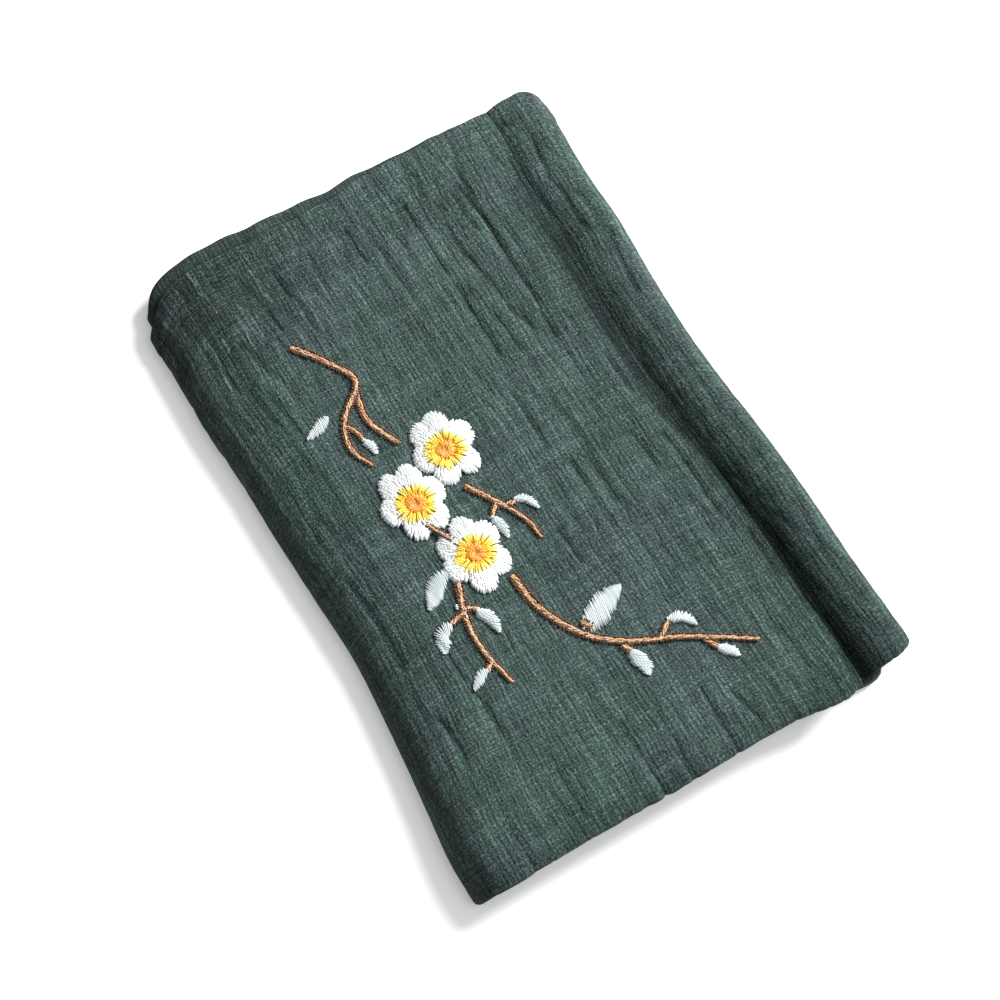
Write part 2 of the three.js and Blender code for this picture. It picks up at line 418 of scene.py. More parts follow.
# %% [markdown]
# ## Crinkles
#
# Crinkled gauze is woven from two layers and washed, so that it draws up into long, narrow,
# wavy grooves along its length, with small puckers across. A displacement texture could do
# this, but the grooves that the eye picks out are placed one by one. Each row below is one
# groove, from its far end to its near end.

# %% Grooves
GROOVES = make_rows(
    "x0 y0 x1 y1 width depth",
    (9.8, 61, 9.9, 42, 0.8, 0.34),
    (10.0, 40, 9.8, 20, 0.8, 0.36),
    (15.9, 58, 15.2, 44, 0.8, 0.32),
    (15.8, 43, 17.0, 31, 0.8, 0.34),
    (16.8, 29, 19.3, 22, 0.8, 0.3),
    (13.8, 29, 14.0, 19, 0.7, 0.3),
    (14.8, 67, 14.5, 61, 0.7, 0.3),
    (23.6, 66, 23.2, 57, 0.7, 0.3),
    (21.4, 60, 22.8, 51, 0.8, 0.3),
    (22.9, 50, 22.3, 39, 0.8, 0.32),
    (22.4, 38, 22.8, 27, 0.8, 0.35),
    (22.3, 25, 22.4, 18, 0.8, 0.34),
    (19.6, 59, 20.2, 49, 0.7, 0.28),
    (31.5, 70, 31.6, 61, 0.7, 0.3),
    (34.0, 60, 34.4, 51, 0.8, 0.22),
    (40.6, 62, 40.0, 52, 0.8, 0.26),
    (40.4, 50, 39.8, 31, 0.8, 0.24),
    (43.9, 34, 42.6, 19, 0.9, 0.3),
    (-3.6, 62, -3.7, 53, 0.8, 0.3),
    (0.2, 61, 0.3, 49, 0.7, 0.22),
    (-13.5, 60, -13.8, 51, 0.8, 0.26),
    (-21.7, 60, -21.2, 53, 0.8, 0.3),
    (-20.3, 52, -20.6, 44, 0.7, 0.28),
    (-28.3, 62, -26.6, 47, 0.7, 0.28),
    (-43.6, 60, -42.6, 48, 0.9, 0.12),
    (-42.4, 47, -40.3, 38, 0.8, 0.14),
    (-35.6, 48, -33.4, 38, 0.7, 0.2),
    (-38.9, 38, -38.4, 28, 0.7, 0.24),
    (-36.4, 34, -35.0, 23, 0.7, 0.24),
    (7.5, 11, 7.6, -2, 0.7, 0.26),
    (29.6, 10, 29.8, 0, 0.9, 0.3),
    (10.2, -8, 10.4, -24, 0.9, 0.34),
    (13.6, -9, 13.8, -20, 1.0, 0.2),
    (0.3, -20, 0.9, -28, 0.8, 0.3),
    (30.2, -11, 29.8, -33, 0.8, 0.36),
    (24.1, -8, 24.6, -17, 0.9, 0.24),
    (16.0, -32, 16.5, -38, 0.7, 0.24),
    (33.0, -38, 33.2, -49, 0.8, 0.26),
    (-2.5, -61, -2.9, -75, 0.7, 0.15),
    (7.0, -62, 6.8, -75, 0.7, 0.17),
    (11.8, -65, 13.6, -72, 0.7, 0.26),
    (19.4, -66, 20.0, -75, 0.7, 0.14),
    (26.9, -58, 27.3, -68, 0.7, 0.24),
    (-9.6, -60, -9.2, -77, 0.8, 0.28),
    (-24.8, -58, -24.5, -72, 0.7, 0.22),
    (-34.6, -27, -33.0, -38, 0.8, 0.28),
    (-32.3, -41, -31.4, -50, 0.8, 0.28),
    (-41.0, -42, -39.6, -52, 0.9, 0.28),
    (-43.2, -8, -42.6, -30, 0.9, 0.26),
)
GROOVE_DEEPER = 1.3
GROOVE_NARROWER = 0.74
GROOVE_REACH = {"x": 6, "y": 3}
GROOVE_WAVE = {"across": 9.0, "along": 3.2, "seed": 4.0, "reach": 0.4}


def cloth_noise(across, along, kind):
    """Soft noise from -1 to 1, with its own size across and along."""
    return noise.noise((across / kind["across"], along / kind["along"], kind["seed"]))


def placed_grooves(x, y):
    """How deep the grooves of the table are at a place. Each one sways a little."""
    swayed = x + GROOVE_WAVE["reach"] * cloth_noise(x, y, GROOVE_WAVE)
    deep = 0.0
    for row in GROOVES:
        beside = abs(x - row["x0"]) < GROOVE_REACH["x"]
        if beside and row["y1"] - GROOVE_REACH["y"] < y < row["y0"] + GROOVE_REACH["y"]:
            width = row["width"] * GROOVE_NARROWER
            deep += row["depth"] * bell(from_segment(swayed, y, row), width)
    return deep * GROOVE_DEEPER


print("placed grooves:", len(GROOVES))

# %% [markdown]
# ## Small crinkles
#
# Between the placed grooves the whole cloth is finely ribbed. Ribs and thin lines run along
# it, puckers lie between them, and a slow noise lets all of them wander sideways, as yarns do
# after a wash. They are much longer than wide, so a stretched noise gives them. Where the
# embroidery holds the cloth it stays calm, and a few spots say where and how much.

# %% Small crinkles
RIB = {"across": 2.6, "along": 14.0, "seed": 7.7, "height": 0.11}
PUCKER = {"across": 2.4, "along": 2.2, "seed": 9.2, "height": 0.08}
LINE = {"across": 3.3, "along": 16.0, "seed": 12.3, "width": 0.07, "depth": 0.2}
WANDER = {"across": 12.0, "along": 19.0, "seed": 3.1, "reach": 0.9}
CALM = make_rows(
    "x y radius share",
    (-16, 2, 24, 0.6),
    (-2, -44, 22, 0.45),
    (-26, -34, 24, 0.5),
    (-28, -62, 26, 0.45),
    (8, -74, 17, 0.4),
)


def left_by(rows, x, y):
    """What is left of 1 at a place, after each spot of a table has taken its share."""
    left = 1.0
    for row in rows:
        away = math.hypot(x - row["x"], y - row["y"])
        left *= 1 - row["share"] * bell(away, row["radius"])
    return left


def small_crinkles(at, y):
    """The height of ribs and puckers, and the depth of thin lines."""
    across = at + WANDER["reach"] * cloth_noise(at, y, WANDER)
    height = RIB["height"] * cloth_noise(across, y, RIB)
    height += PUCKER["height"] * cloth_noise(across, y, PUCKER)
    line = abs(cloth_noise(across, y, LINE))
    return height, LINE["depth"] * bell(line, LINE["width"])


print("crinkles under the middle blossom keep", round(left_by(CALM, -16, 2), 2))

# %% [markdown]
# ## The panel's path
#
# Each point of the cloth is known by two things: how far it is along the panel's path, and its
# station, which is on the outer leaf, round the crosswise fold, or on the inner leaf. A cloth
# simulation could fold the sheet too, but a towel that was pressed flat by hand keeps exact
# folds, and a mapping gives the same result each time. First comes the path of the doubled
# panel, seen from its end: straight pieces and two half circles.


# %% The panel's path
def turn(centre, radius, start, along):
    """A place on a half circle: x, z and the way out of the pack."""
    angle = start - along / radius
    out = (math.cos(angle), math.sin(angle))
    return centre + radius * out[0], BASE_HEIGHT + radius + radius * out[1], out


def rising(x, y):
    """The inner panel, which climbs out of the trough onto the strip."""
    foot = follow(TROUGH, "y", "foot", y)
    width = follow(TROUGH, "y", "shoulder", y) - foot
    f = limit((x - foot) / width)
    rise = STRIP_HEIGHT - INNER_HEIGHT
    slope = rise * 6 * f * (1 - f) / width
    size = math.hypot(slope, 1)
    return x, INNER_HEIGHT + rise * smooth(f), (-slope / size, 1 / size)


def middle_line(at, y):
    """The panel's middle line at a distance along it: x, z and the way out of the pack."""
    if at < STRIP_START:
        return rising(INNER_EDGE + at, y)
    if at < BASE_START:
        return turn(STRIP_TURN, STRIP_RADIUS, math.pi / 2, at - STRIP_START)
    if at < LEFT_START:
        return STRIP_TURN - (at - BASE_START), BASE_HEIGHT, (0, -1)
    if at < TOP_START:
        return turn(LEFT_TURN, LEFT_RADIUS, -math.pi / 2, at - LEFT_START)
    return LEFT_TURN + (at - TOP_START), TOP_HEIGHT, (0, 1)


def on_strip(at):
    """Whether a place along the path is on the raised strip, where it shows."""
    return STRIP_SEEN < at < BASE_START


print("the left fold reaches x =", round(middle_line((LEFT_START + TOP_START) / 2, 0)[0], 1))

# %% [markdown]
# ## The shape of the pack
#
# The exact folds are then made uneven. The pack sinks in its creases, beside the trough, along
# the left fold and at both ends. The top panel's free edge is tucked down beside the strip, and
# the long sides bow. Each of these is a short function of the place, so that the outer leaf and
# the inner one under it move together and never cross.


# %% The shape of the pack
def height_share(x, y, near, far):
    """How much of its height the pack keeps at a place."""
    sunk = 0.0
    for row in CREASES:
        sunk += row["share"] * bell(from_segment(x, y, row), row["width"])
    sunk += follow(TROUGH, "y", "sink", y) * bell(x - TOP_EDGE, TROUGH_SINK_WIDTH)
    roll = follow(SIDES, "y", "roll", y)
    rolled = limit((roll - x) / (roll - LEFT_SINK["to"]))
    sunk += LEFT_SINK["share"] * rolled * rolled
    sunk += END_SINK["share"] * (1 - smooth(min(y - near, far - y) / END_SINK["length"]))
    return 1 - sunk


def near_edge(at):
    """1 at the top panel's free edge, 0 away from it."""
    return smooth((at - PANEL_LENGTH) / TUCK["reach"] + 1)


def tuck_share(at, y):
    """1 where the top panel's edge is tucked down beside the strip, 0 away from there."""
    return near_edge(at) * limit(follow(TROUGH, "y", "tuck", y))


def tuck_back(at, y):
    """How far the leaf under the tucked edge stays behind it."""
    if at < TOP_START:
        return 0.0
    share = limit(TUCK["back_rise"] * follow(TROUGH, "y", "tuck", y))
    return share * TUCK["back"] * max((at - PANEL_LENGTH) / TUCK["back_reach"] + 1, 0.0)


def side_shift(x, y):
    """How far the bowed long sides move a place across the pack."""
    left = smooth((LEFT_TURN - x) / SIDE_REACH + 1)
    right = smooth((x - STRIP_TURN) / SIDE_REACH + 1)
    return left * follow(SIDES, "y", "left", y) + right * follow(SIDES, "y", "right", y)


print("height kept in the long crease:", round(height_share(17.5, 35, -75, 73), 3))

# %% [markdown]
# ## Stations, hems and crinkles
#
# A station runs from the outer leaf's hem round the crosswise fold to the inner leaf's hem. A
# hem is the cloth's edge turned over twice, so it is thicker, and its line waves a little. The
# crinkles are weaker on leaves that lie inside, because nobody sees them and the leaves have
# to stay clear of each other.

# %% Stations, hems and crinkles
HIDDEN_SHARE = 0.3
HEM_STEP = 1.0
LEFT_SEEN = LEFT_START + 3


def along_cloth(part, f):
    """How far a station is from the outer hem along the flat cloth."""
    fold = math.pi * CLOTH_OFF
    if part == "outer":
        return f * LEAF_LENGTH
    if part == "fold":
        return LEAF_LENGTH + f * fold
    return LEAF_LENGTH + fold + f * LEAF_LENGTH


CLOTH_LENGTH = along_cloth("inner", 1.0)


def hem_weight(at, along):
    """1 on the turned-over hems, 0 in the open cloth, with a soft step between."""
    nearest = min(at, PANEL_LENGTH - at, along, CLOTH_LENGTH - along)
    return 1 - smooth((nearest - HEM) / HEM_STEP + 0.5)


def shows(at, part):
    """1 where the leaf is an outer one that the eye sees from above, else a small share."""
    seen = part != "inner" and (on_strip(at) or at > LEFT_SEEN)
    return 1.0 if seen else HIDDEN_SHARE


def crinkle(at, part, x, y):
    """How far the crinkled cloth stands out of its smooth place, and how deep its grooves are."""
    height, deep = small_crinkles(at, y)
    calm = left_by(CALM, x, y)
    deep *= calm
    if at > TOP_START or on_strip(at):
        deep += placed_grooves(x, y)
    share = shows(at, part)
    return (height * calm - deep) * share, deep * share


def station_y(at, part, f):
    """Where a station lies along the pack before the fold rounds it."""
    fold_line = follow(ENDS, "at", "near", at) + HALF_PANEL
    if part == "fold":
        return fold_line
    hem = follow(ENDS, "at", f"{part}_hem", at)
    hem += HEM_WAVE["reach"] * noise.noise((at / HEM_WAVE["length"], *HEM_WAVE["place"]))
    return mix(hem, fold_line, f) if part == "outer" else mix(fold_line, hem, f)


print(f"the flat cloth is {PANEL_LENGTH:.1f} by {CLOTH_LENGTH:.1f} mm without its crinkles")

# %% [markdown]
# ## A point of the folded sheet
#
# Now one function can take any point of the cloth to its place in the pack. A leaf lies about
# half a panel away from the middle line, outside or inside, and the crosswise fold takes the
# cloth round from one to the other. Then the crinkles, the tucked edge and the uneven shape
# are added, and the sheet is kept above the table by half its own thickness.


# %% A point of the folded sheet
def place(at, part, f, plain=False):
    """A point of the folded sheet in millimetres, with plain for one without crinkles."""
    y = station_y(at, part, f)
    off = CLOTH_OFF
    if not plain:
        off += crinkle(at, part, middle_line(at, y)[0], y)[0]
    n = off
    if part == "fold":
        y -= off * math.sin(math.pi * f)
        n = off * math.cos(math.pi * f)
    if part == "inner":
        n = -off
    x, z, out = middle_line(at, y)
    across = x + n * out[0]
    up = z + n * out[1]
    up -= tuck_share(at, y) * TUCK["drop"] * max(n, 0.0) / CLOTH_OFF
    across -= tuck_back(at, y) * max(-n, 0.0) / CLOTH_OFF
    across += follow(TROUGH, "y", "edge", y) * near_edge(at)
    near = follow(ENDS, "at", "near", at)
    far = follow(ENDS, "at", "inner_hem", at)
    up *= height_share(across, y, near, far)
    if not plain:
        up = max(up, mix(CLOTH, HEM_CLOTH, hem_weight(at, along_cloth(part, f))) / 2)
    return Vector((across + side_shift(across, y), y, up))


print("middle of the top panel:", [round(c, 2) for c in place(top_at(0), "outer", 0.5)])

# %% [markdown]
# ## Columns and rows
#
# The sheet is a grid of squares whose points are moved to their places in the fold. The grid
# is dense where the cloth shows, because crinkles are narrow, and sparse inside the pack, so
# that the mesh stays small. Each span below ends at a place and has a step size of its own.

# %% Columns and rows
FINE_STEP = 0.5
TURN_STEP = 0.6
HIDDEN_STEP = 6.0
FOLD_PARTS = 8
END_SPAN = 7.0


def steps(start, end, size):
    """Even steps of about one size from the start, with the end left out."""
    count = max(1, round(abs(end - start) / size))
    return [mix(start, end, i / count) for i in range(count)]


def spans(*rows):
    """Steps from 0 through spans that follow each other, each with its end and its step size."""
    places = []
    start = 0
    for end, size in rows:
        places += steps(start, end, size)
        start = end
    return [*places, start]


def sheet_columns():
    return spans(
        (HEM + 1, 0.9),
        (inner_at(32), HIDDEN_STEP),
        (STRIP_START, FINE_STEP),
        (BASE_START, FINE_STEP),
        (base_at(28), 1.25),
        (LEFT_START, HIDDEN_STEP),
        (TOP_START, TURN_STEP),
        (PANEL_LENGTH, FINE_STEP),
    )


def sheet_rows():
    open_end = LEAF_LENGTH - END_SPAN
    outer = spans((END_SPAN, 0.55), (open_end, 1.0), (LEAF_LENGTH, 0.8))
    inner = spans((open_end, 9.0), (LEAF_LENGTH, 1.2))
    rows = [("outer", y / LEAF_LENGTH) for y in outer[:-1]]
    rows += [("fold", f) for f in steps(0, 1, 1 / FOLD_PARTS)]
    return rows + [("inner", y / LEAF_LENGTH) for y in inner]


COLUMNS = sheet_columns()
ROWS = sheet_rows()
print("columns", len(COLUMNS), "rows", len(ROWS), "squares", (len(COLUMNS) - 1) * (len(ROWS) - 1))

# %% [markdown]
# ## From the tables to the part
#
# The tables have an origin of their own, near the middle of the pack. The packed part has its
# origin where its own box puts it, so the middle of the plain folded sheet is moved to the
# middle of the part, and millimetres become metres.


# %% From the tables to the part
def to_pack_origin():
    """How far the tables' own origin is from the part's: both boxes get one middle."""
    low = Vector((math.inf, math.inf, 0))
    high = Vector((-math.inf, -math.inf, 0))
    for at in [*COLUMNS[::4], PANEL_LENGTH]:
        for part, f in [*ROWS[::3], ("fold", 0.5)]:
            point = place(at, part, f, plain=True)
            low = Vector(map(min, low, point))
            high = Vector(map(max, high, point))
    cad_low, cad_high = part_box("towel")
    shift = (cad_low + cad_high) / 2 / MM - (low + high) / 2
    return Vector((shift.x, shift.y, 0.0))


ORIGIN_SHIFT = to_pack_origin()


def to_metres(point):
    return (point + ORIGIN_SHIFT) * MM


print("tables to part:", [round(c, 2) for c in ORIGIN_SHIFT])

# %% [markdown]
# ## Painted shade in hollows and dim places
#
# Light hardly gets into the bottoms of the grooves, the trough and the step under the outer hem,
# and the left fold and the near end turn away from the lamp. On dark cloth these places look nearly
# black. Soft lamps alone would leave them too pale, so their shade is painted into the cloth's
# colour, and one attribute of the mesh carries this painted shade to the finish. It is worked out
# from the same tables as the shape, and a few wide patches of painted shade also darken the far
# left corner and the strip.

# %% Painted shade in hollows and dim places
FULL_SHADE_GROOVE_DEPTH = 0.8
# Painted shade under the outer hem, and in and beside the trough.
UNDER_HEM_PAINTED_SHADE = {"from": TOP_START - 4, "edge": 0.6, "width": 1.3, "beyond": 0.25}
TROUGH_PAINTED_SHADE = make_rows(
    "y x width share",
    (74, 34.0, 3.0, 0.0),
    (62, 34.0, 3.4, 0.18),
    (47, 33.4, 3.8, 0.65),
    (32, 33.6, 3.6, 0.84),
    (2, 33.6, 3.6, 0.76),
    (-12, 34.6, 3.0, 0.85),
    (-28, 36.4, 2.8, 0.95),
    (-42, 37.2, 2.8, 0.96),
    (-76, 37.2, 2.6, 1.0),
)
# Wide patches of painted shade at the far left corner and along the strip.
PAINTED_DIM_PATCHES = make_rows(
    "x y radius share",
    (-46, 66, 17, 0.32),
    (-30, 56, 14, 0.2),
    (46, 6, 15, 0.16),
    (46, -32, 18, 0.21),
    (46, -66, 18, 0.24),
)
PAINTED_DIM_FROM = TOP_START - 6
# Painted shade on the left fold and along the near end, which turn away from the lamp.
LEFT_FOLD_PAINTED_SHADE = {"x": -43.0, "reach": 6.0, "share": 0.34}
NEAR_END_PAINTED_SHADE = {"y": -67.0, "reach": 9.0, "share": 0.22}


def trough_light(x, y):
    """How much light the painted shade leaves in and beside the trough."""
    away = x - follow(TROUGH_PAINTED_SHADE, "y", "x", y)
    dark = bell(away, follow(TROUGH_PAINTED_SHADE, "y", "width", y))
    return 1 - follow(TROUGH_PAINTED_SHADE, "y", "share", y) * dark


def under_hem_light(at, y):
    """How much light the painted shade leaves on the inner leaf under the outer hem and beyond it.
    """
    past = y - follow(ENDS, "at", "outer_hem", at)
    under = 1 - UNDER_HEM_PAINTED_SHADE["edge"] * bell(past, UNDER_HEM_PAINTED_SHADE["width"])
    return under * (1 - UNDER_HEM_PAINTED_SHADE["beyond"] * smooth(past + 1))


def painted_shade(at, part, f):
    """The painted shade at a place: 0 on open cloth, up to 1 in a groove, in the trough, beyond the
    outer hem, in the dim patches, on the left fold and at the near end.
    """
    y = station_y(at, part, f)
    x = middle_line(at, y)[0]
    light = 1 - min(crinkle(at, part, x, y)[1] / FULL_SHADE_GROOVE_DEPTH, 1.0)
    if at > TOP_START or STRIP_SEEN < at < STRIP_START:
        light *= trough_light(x, y)
    if part == "inner" and at > UNDER_HEM_PAINTED_SHADE["from"]:
        light *= under_hem_light(at, y)
    if at > PAINTED_DIM_FROM or on_strip(at):
        light *= left_by(PAINTED_DIM_PATCHES, x, y)
    turned = smooth((LEFT_FOLD_PAINTED_SHADE["x"] - x) / LEFT_FOLD_PAINTED_SHADE["reach"])
    light *= 1 - LEFT_FOLD_PAINTED_SHADE["share"] * turned
    light *= 1 - NEAR_END_PAINTED_SHADE["share"] * smooth((NEAR_END_PAINTED_SHADE["y"] - y) / NEAR_END_PAINTED_SHADE["reach"])
    return 1 - light


print("hollow in the trough:", round(painted_shade(top_at(34), "outer", 0.5), 2))

# %% [markdown]
# ## Build the sheet
#
# The cloth itself is a flat grid first, with one point for each column and row. Each point is moved
# to its place and gets three things: its place in the flat cloth as a map for the weave, its
# thickness as a vertex group, and its painted shade as an attribute. A Solidify modifier then makes
# two faces of one, and the group makes it thicker along the four hems and thinner where it is
# tucked.

# %% Build the sheet
TOP_POINT = 60


def lay_point(vertex, at, part, f, group, painted_shade_layer):
    """Moves one grid point to its place and notes how thick the cloth is and how much painted shade
    it gets.
    """
    tuck = tuck_share(at, station_y(at, part, f))
    hem = hem_weight(at, along_cloth(part, f)) * (1 - tuck)
    vertex[group][0] = mix(CLOTH / HEM_CLOTH, 1.0, hem) * (1 - TUCK["thinner"] * tuck)
    vertex[painted_shade_layer] = painted_shade(at, part, f)
    vertex.co = to_metres(place(at, part, f))


def make_grid(work):
    """Lays the whole grid into the fold, with its outer face on the outside."""
    bmesh.ops.create_grid(
        work, x_segments=len(COLUMNS) - 1, y_segments=len(ROWS) - 1, size=0.5
    )
    group = work.verts.layers.deform.verify()
    painted_shade_layer = work.verts.layers.float.new("painted_shade")
    cloth_map = work.loops.layers.uv.new("cloth")
    # The points of the flat grid, column by column.
    order = sorted(work.verts, key=lambda v: (round(v.co.x, 6), round(v.co.y, 6)))
    flat_place = {}
    for i, at in enumerate(COLUMNS):
        for j, (part, f) in enumerate(ROWS):
            vertex = order[i * len(ROWS) + j]
            flat_place[vertex] = (at / CLOTH_LENGTH, along_cloth(part, f) / CLOTH_LENGTH)
            lay_point(vertex, at, part, f, group, painted_shade_layer)
    for face in work.faces:
        face.smooth = True
        for loop in face.loops:
            loop[cloth_map].uv = flat_place[loop.vert]
    on_top = order[(len(COLUMNS) - TOP_POINT) * len(ROWS) + TOP_POINT]
    on_top.normal_update()
    if on_top.normal.z < 0:
        bmesh.ops.reverse_faces(work, faces=work.faces)


def make_sheet():
    work = bmesh.new()
    make_grid(work)
    sheet = join_scene("gauze_towel", take_mesh(work, "gauze_towel"))
    sheet.vertex_groups.new(name="hems")
    thick = sheet.modifiers.new("thickness", "SOLIDIFY")
    thick.thickness = HEM_CLOTH * MM
    thick.offset = 0.0
    thick.vertex_group = "hems"
    thick.thickness_vertex_group = 0.0
    return sheet


towel = make_sheet()
print("sheet points:", len(towel.data.vertices))

# %% [markdown]
# ## Small helpers for materials
#
# A procedural material is a chain of nodes. Here a node's output is wrapped as a signal that
# can be added and multiplied like a number, because a formula is easier to read than a list of
# links. Each sum or product makes one maths node.


# %% Signals
class Signal:
    """A node's output that can be used in formulas like a number."""

    def __init__(self, socket):
        self.socket = socket

    def __add__(self, other):
        return compute("ADD", self, other)

    def __sub__(self, other):
        return compute("SUBTRACT", self, other)

    def __rsub__(self, other):
        return compute("SUBTRACT", other, self)

    def __mul__(self, other):
        return compute("MULTIPLY", self, other)

    def __truediv__(self, other):
        return compute("DIVIDE", self, other)

    def __abs__(self):
        return compute("ABSOLUTE", self)


def plug(value, socket):
    """Links a signal to a socket, or sets the socket to a number or a colour."""
    if isinstance(value, Signal):
        socket.id_data.links.new(value.socket, socket)
    elif socket.type == "RGBA":
        socket.default_value = (*value, 1.0)
    else:
        socket.default_value = value


def tree_of(*values):
    """The node tree of the first signal among some values."""
    return next(value.socket.id_data for value in values if isinstance(value, Signal))


def compute(operation, *values):
    node = tree_of(*values).nodes.new("ShaderNodeMath")
    node.operation = operation
    for socket, value in zip(node.inputs, values):
        plug(value, socket)
    return Signal(node.outputs[0])


def clamped(signal):
    """The same signal, kept between 0 and 1 by the maths node it comes from."""
    signal.socket.node.use_clamp = True
    return signal


print("signals:", Signal.__doc__)

# %% [markdown]
# ## Nodes by name
#
# The other nodes are added by their kind, and their inputs are filled by name. The helpers
# below also take a vector apart, blend two colours, turn a signal into a colour, and turn it
# into relief. Each pattern can then be written as one or two lines.


# %% Nodes by name
def feed(node, **inputs):
    """Fills a node's inputs by name, with _ for a space."""
    for name, value in inputs.items():
        plug(value, node.inputs[name.replace("_", " ")])


def add_node(tree, kind, output=0, settings=None, **inputs):
    """Adds a node, fills its inputs and gives back one of its outputs."""
    node = tree.nodes.new(kind)
    for name, value in (settings or {}).items():
        setattr(node, name, value)
    feed(node, **inputs)
    return Signal(node.outputs[output])


def read_attribute(tree, name, output):
    """An attribute of the mesh, with output 1 for a vector and 2 for a number."""
    return add_node(tree, "ShaderNodeAttribute", output, {"attribute_name": name})


def parts_of(vector):
    """The three numbers of a vector signal."""
    node = tree_of(vector).nodes.new("ShaderNodeSeparateXYZ")
    plug(vector, node.inputs[0])
    return [Signal(output) for output in node.outputs]


def blend_colors(share, a, b, kind="MIX"):
    """Two colours blended. A Mix node has its colour inputs at 6 and 7, its output at 2."""
    node = tree_of(share, a, b).nodes.new("ShaderNodeMix")
    node.data_type = "RGBA"
    node.blend_type = kind
    for index, value in ((0, share), (6, a), (7, b)):
        plug(value, node.inputs[index])
    return Signal(node.outputs[2])


def color_ramp(signal, *stops):
    """A colour for each value of a signal, from stops of a position and a colour."""
    node = tree_of(signal).nodes.new("ShaderNodeValToRGB")
    elements = node.color_ramp.elements
    elements[0].position, elements[1].position = stops[0][0], stops[-1][0]
    elements[0].color, elements[1].color = (*stops[0][1], 1.0), (*stops[-1][1], 1.0)
    for position, color in stops[1:-1]:
        elements.new(position).color = (*color, 1.0)
    plug(signal, node.inputs[0])
    return Signal(node.outputs[0])


def relief(height, strength, distance):
    """A signal as relief, for a shader's normal, with its depth in millimetres."""
    tree = tree_of(height)
    return add_node(
        tree, "ShaderNodeBump", Strength=strength, Distance=distance * MM, Height=height
    )


print("add_node:", add_node.__doc__)

# %% [markdown]
# ## Yarns
#
# Seen close, the cloth is a plain weave of uneven yarns, light and dark by turns, with slubs
# that run on for a while and stop. Its warp lies along the pack about one millimetre apart and
# its weft is a little closer. A picture of cloth would repeat itself. Here each yarn gets its
# own tone from its number, and a noise stretched along the yarn makes the slubs. Every pattern
# reads the sheet's own map, which is the flat cloth, so the weave bends with each fold.

# %% Yarns
WARP = {"pitch": 0.96, "slub": 14.0, "seed": 11.0}
WEFT = {"pitch": 0.70, "slub": 7.0, "seed": 47.0}
YARN_APART = 5.3
YARN_TONE = {"own": 0.4, "darker": 0.22}
NOISE_ROUGHNESS = 0.55


def cloth_texture(across, along, size, seed, detail=2.0):
    """Noise in the flat cloth with its own size across and along, in millimetres."""
    tree = tree_of(across)
    spot = add_node(
        tree, "ShaderNodeCombineXYZ", X=across / size[0], Y=along / size[1], Z=seed
    )
    return add_node(
        tree,
        "ShaderNodeTexNoise",
        Vector=spot,
        Scale=1.0,
        Detail=detail,
        Roughness=NOISE_ROUGHNESS,
    )


def yarn(here, along, kind):
    """One set of yarns: its tone, and its round profile from 0 at the gap to 1 on top."""
    count = here / kind["pitch"]
    number = compute("FLOOR", count)
    own = add_node(
        tree_of(here),
        "ShaderNodeTexWhiteNoise",
        settings={"noise_dimensions": "1D"},
        W=number + kind["seed"],
    )
    slub = cloth_texture(number * YARN_APART, along, (1.0, kind["slub"]), kind["seed"], 1.0)
    profile = compute("SINE", compute("FRACT", count) * math.pi)
    return own * YARN_TONE["own"] + slub - YARN_TONE["darker"], profile


print("yarns to 10 mm:", round(10 / WARP["pitch"], 1), "and", round(10 / WEFT["pitch"], 1))

# %% [markdown]
# ## The weave
#
# In a plain weave each yarn goes over one and under the next. The product of two waves, one
# for each set of yarns, says which yarn lies on top at each crossing. Washed yarns are not
# straight, so two soft noises let both sets sway before they are counted.

# %% The weave
SWAY = {"size": (7.0, 12.0), "seed": 2.0, "reach": 1.6}
DRIFT = {"size": (9.0, 6.0), "seed": 8.0, "reach": 1.6}
WARP_ON_TOP = 0.56


def swaying(tree):
    """Places in the flat cloth: plain ones across and along it, and where yarns sway to."""
    flat = add_node(tree, "ShaderNodeUVMap", settings={"uv_map": "cloth"})
    u, v = parts_of(flat)[:2]
    across = u * CLOTH_LENGTH
    along = v * CLOTH_LENGTH
    sway = cloth_texture(across, along, SWAY["size"], SWAY["seed"])
    drift = cloth_texture(across, along, DRIFT["size"], DRIFT["seed"])
    return across, along, across + sway * SWAY["reach"], along + drift * DRIFT["reach"]


def weave(across, along, warp_place, weft_place):
    """The height and the tone of the yarn that lies on top."""
    warp_tone, warp = yarn(warp_place, along, WARP)
    weft_tone, weft = yarn(weft_place, across, WEFT)
    warp_turn = compute("SINE", warp_place * (math.pi / WARP["pitch"]))
    weft_turn = compute("SINE", weft_place * (math.pi / WEFT["pitch"]))
    on_top = clamped(warp_turn * weft_turn * 0.5 + WARP_ON_TOP)
    below = 1.0 - on_top
    return warp * on_top + weft * below, warp_tone * on_top + weft_tone * below


print("the warp's mean share of the face:", WARP_ON_TOP)

# %% [markdown]
# ## Loose strands and furrows
#
# Gauze isn't even. Some warp yarns lie loose on it as pale strands, some gaps between them are
# open as dark furrows, and at one corner the crossing yarns stand apart as well. All of these
# are thin lines. A noise that is stretched along the cloth has such lines wherever it passes
# one level, and a steep clamp keeps only them.

# %% Loose strands and furrows
THIN = {"size": (1.5, 14.0), "seed": 31.0}
# Their tone darkens the furrows and crossing gaps: partly their own darkness, partly painted shade.
FURROW = {"level": 0.5, "sharpness": 20.0, "tone": 0.14, "depth": 0.4}
STRAND = {"level": 0.64, "sharpness": 26.0, "tone": 0.08, "at_corner": 0.5}
CROSS = {"size": (8.0, 0.8), "seed": 83.0, "level": 0.5, "sharpness": 12.0}
CROSS_WEIGHT = {"tone": 0.25, "depth": 0.5}
CORNER = {"across": TOP_START + 6, "half_width": 30.0, "length": 36.0}


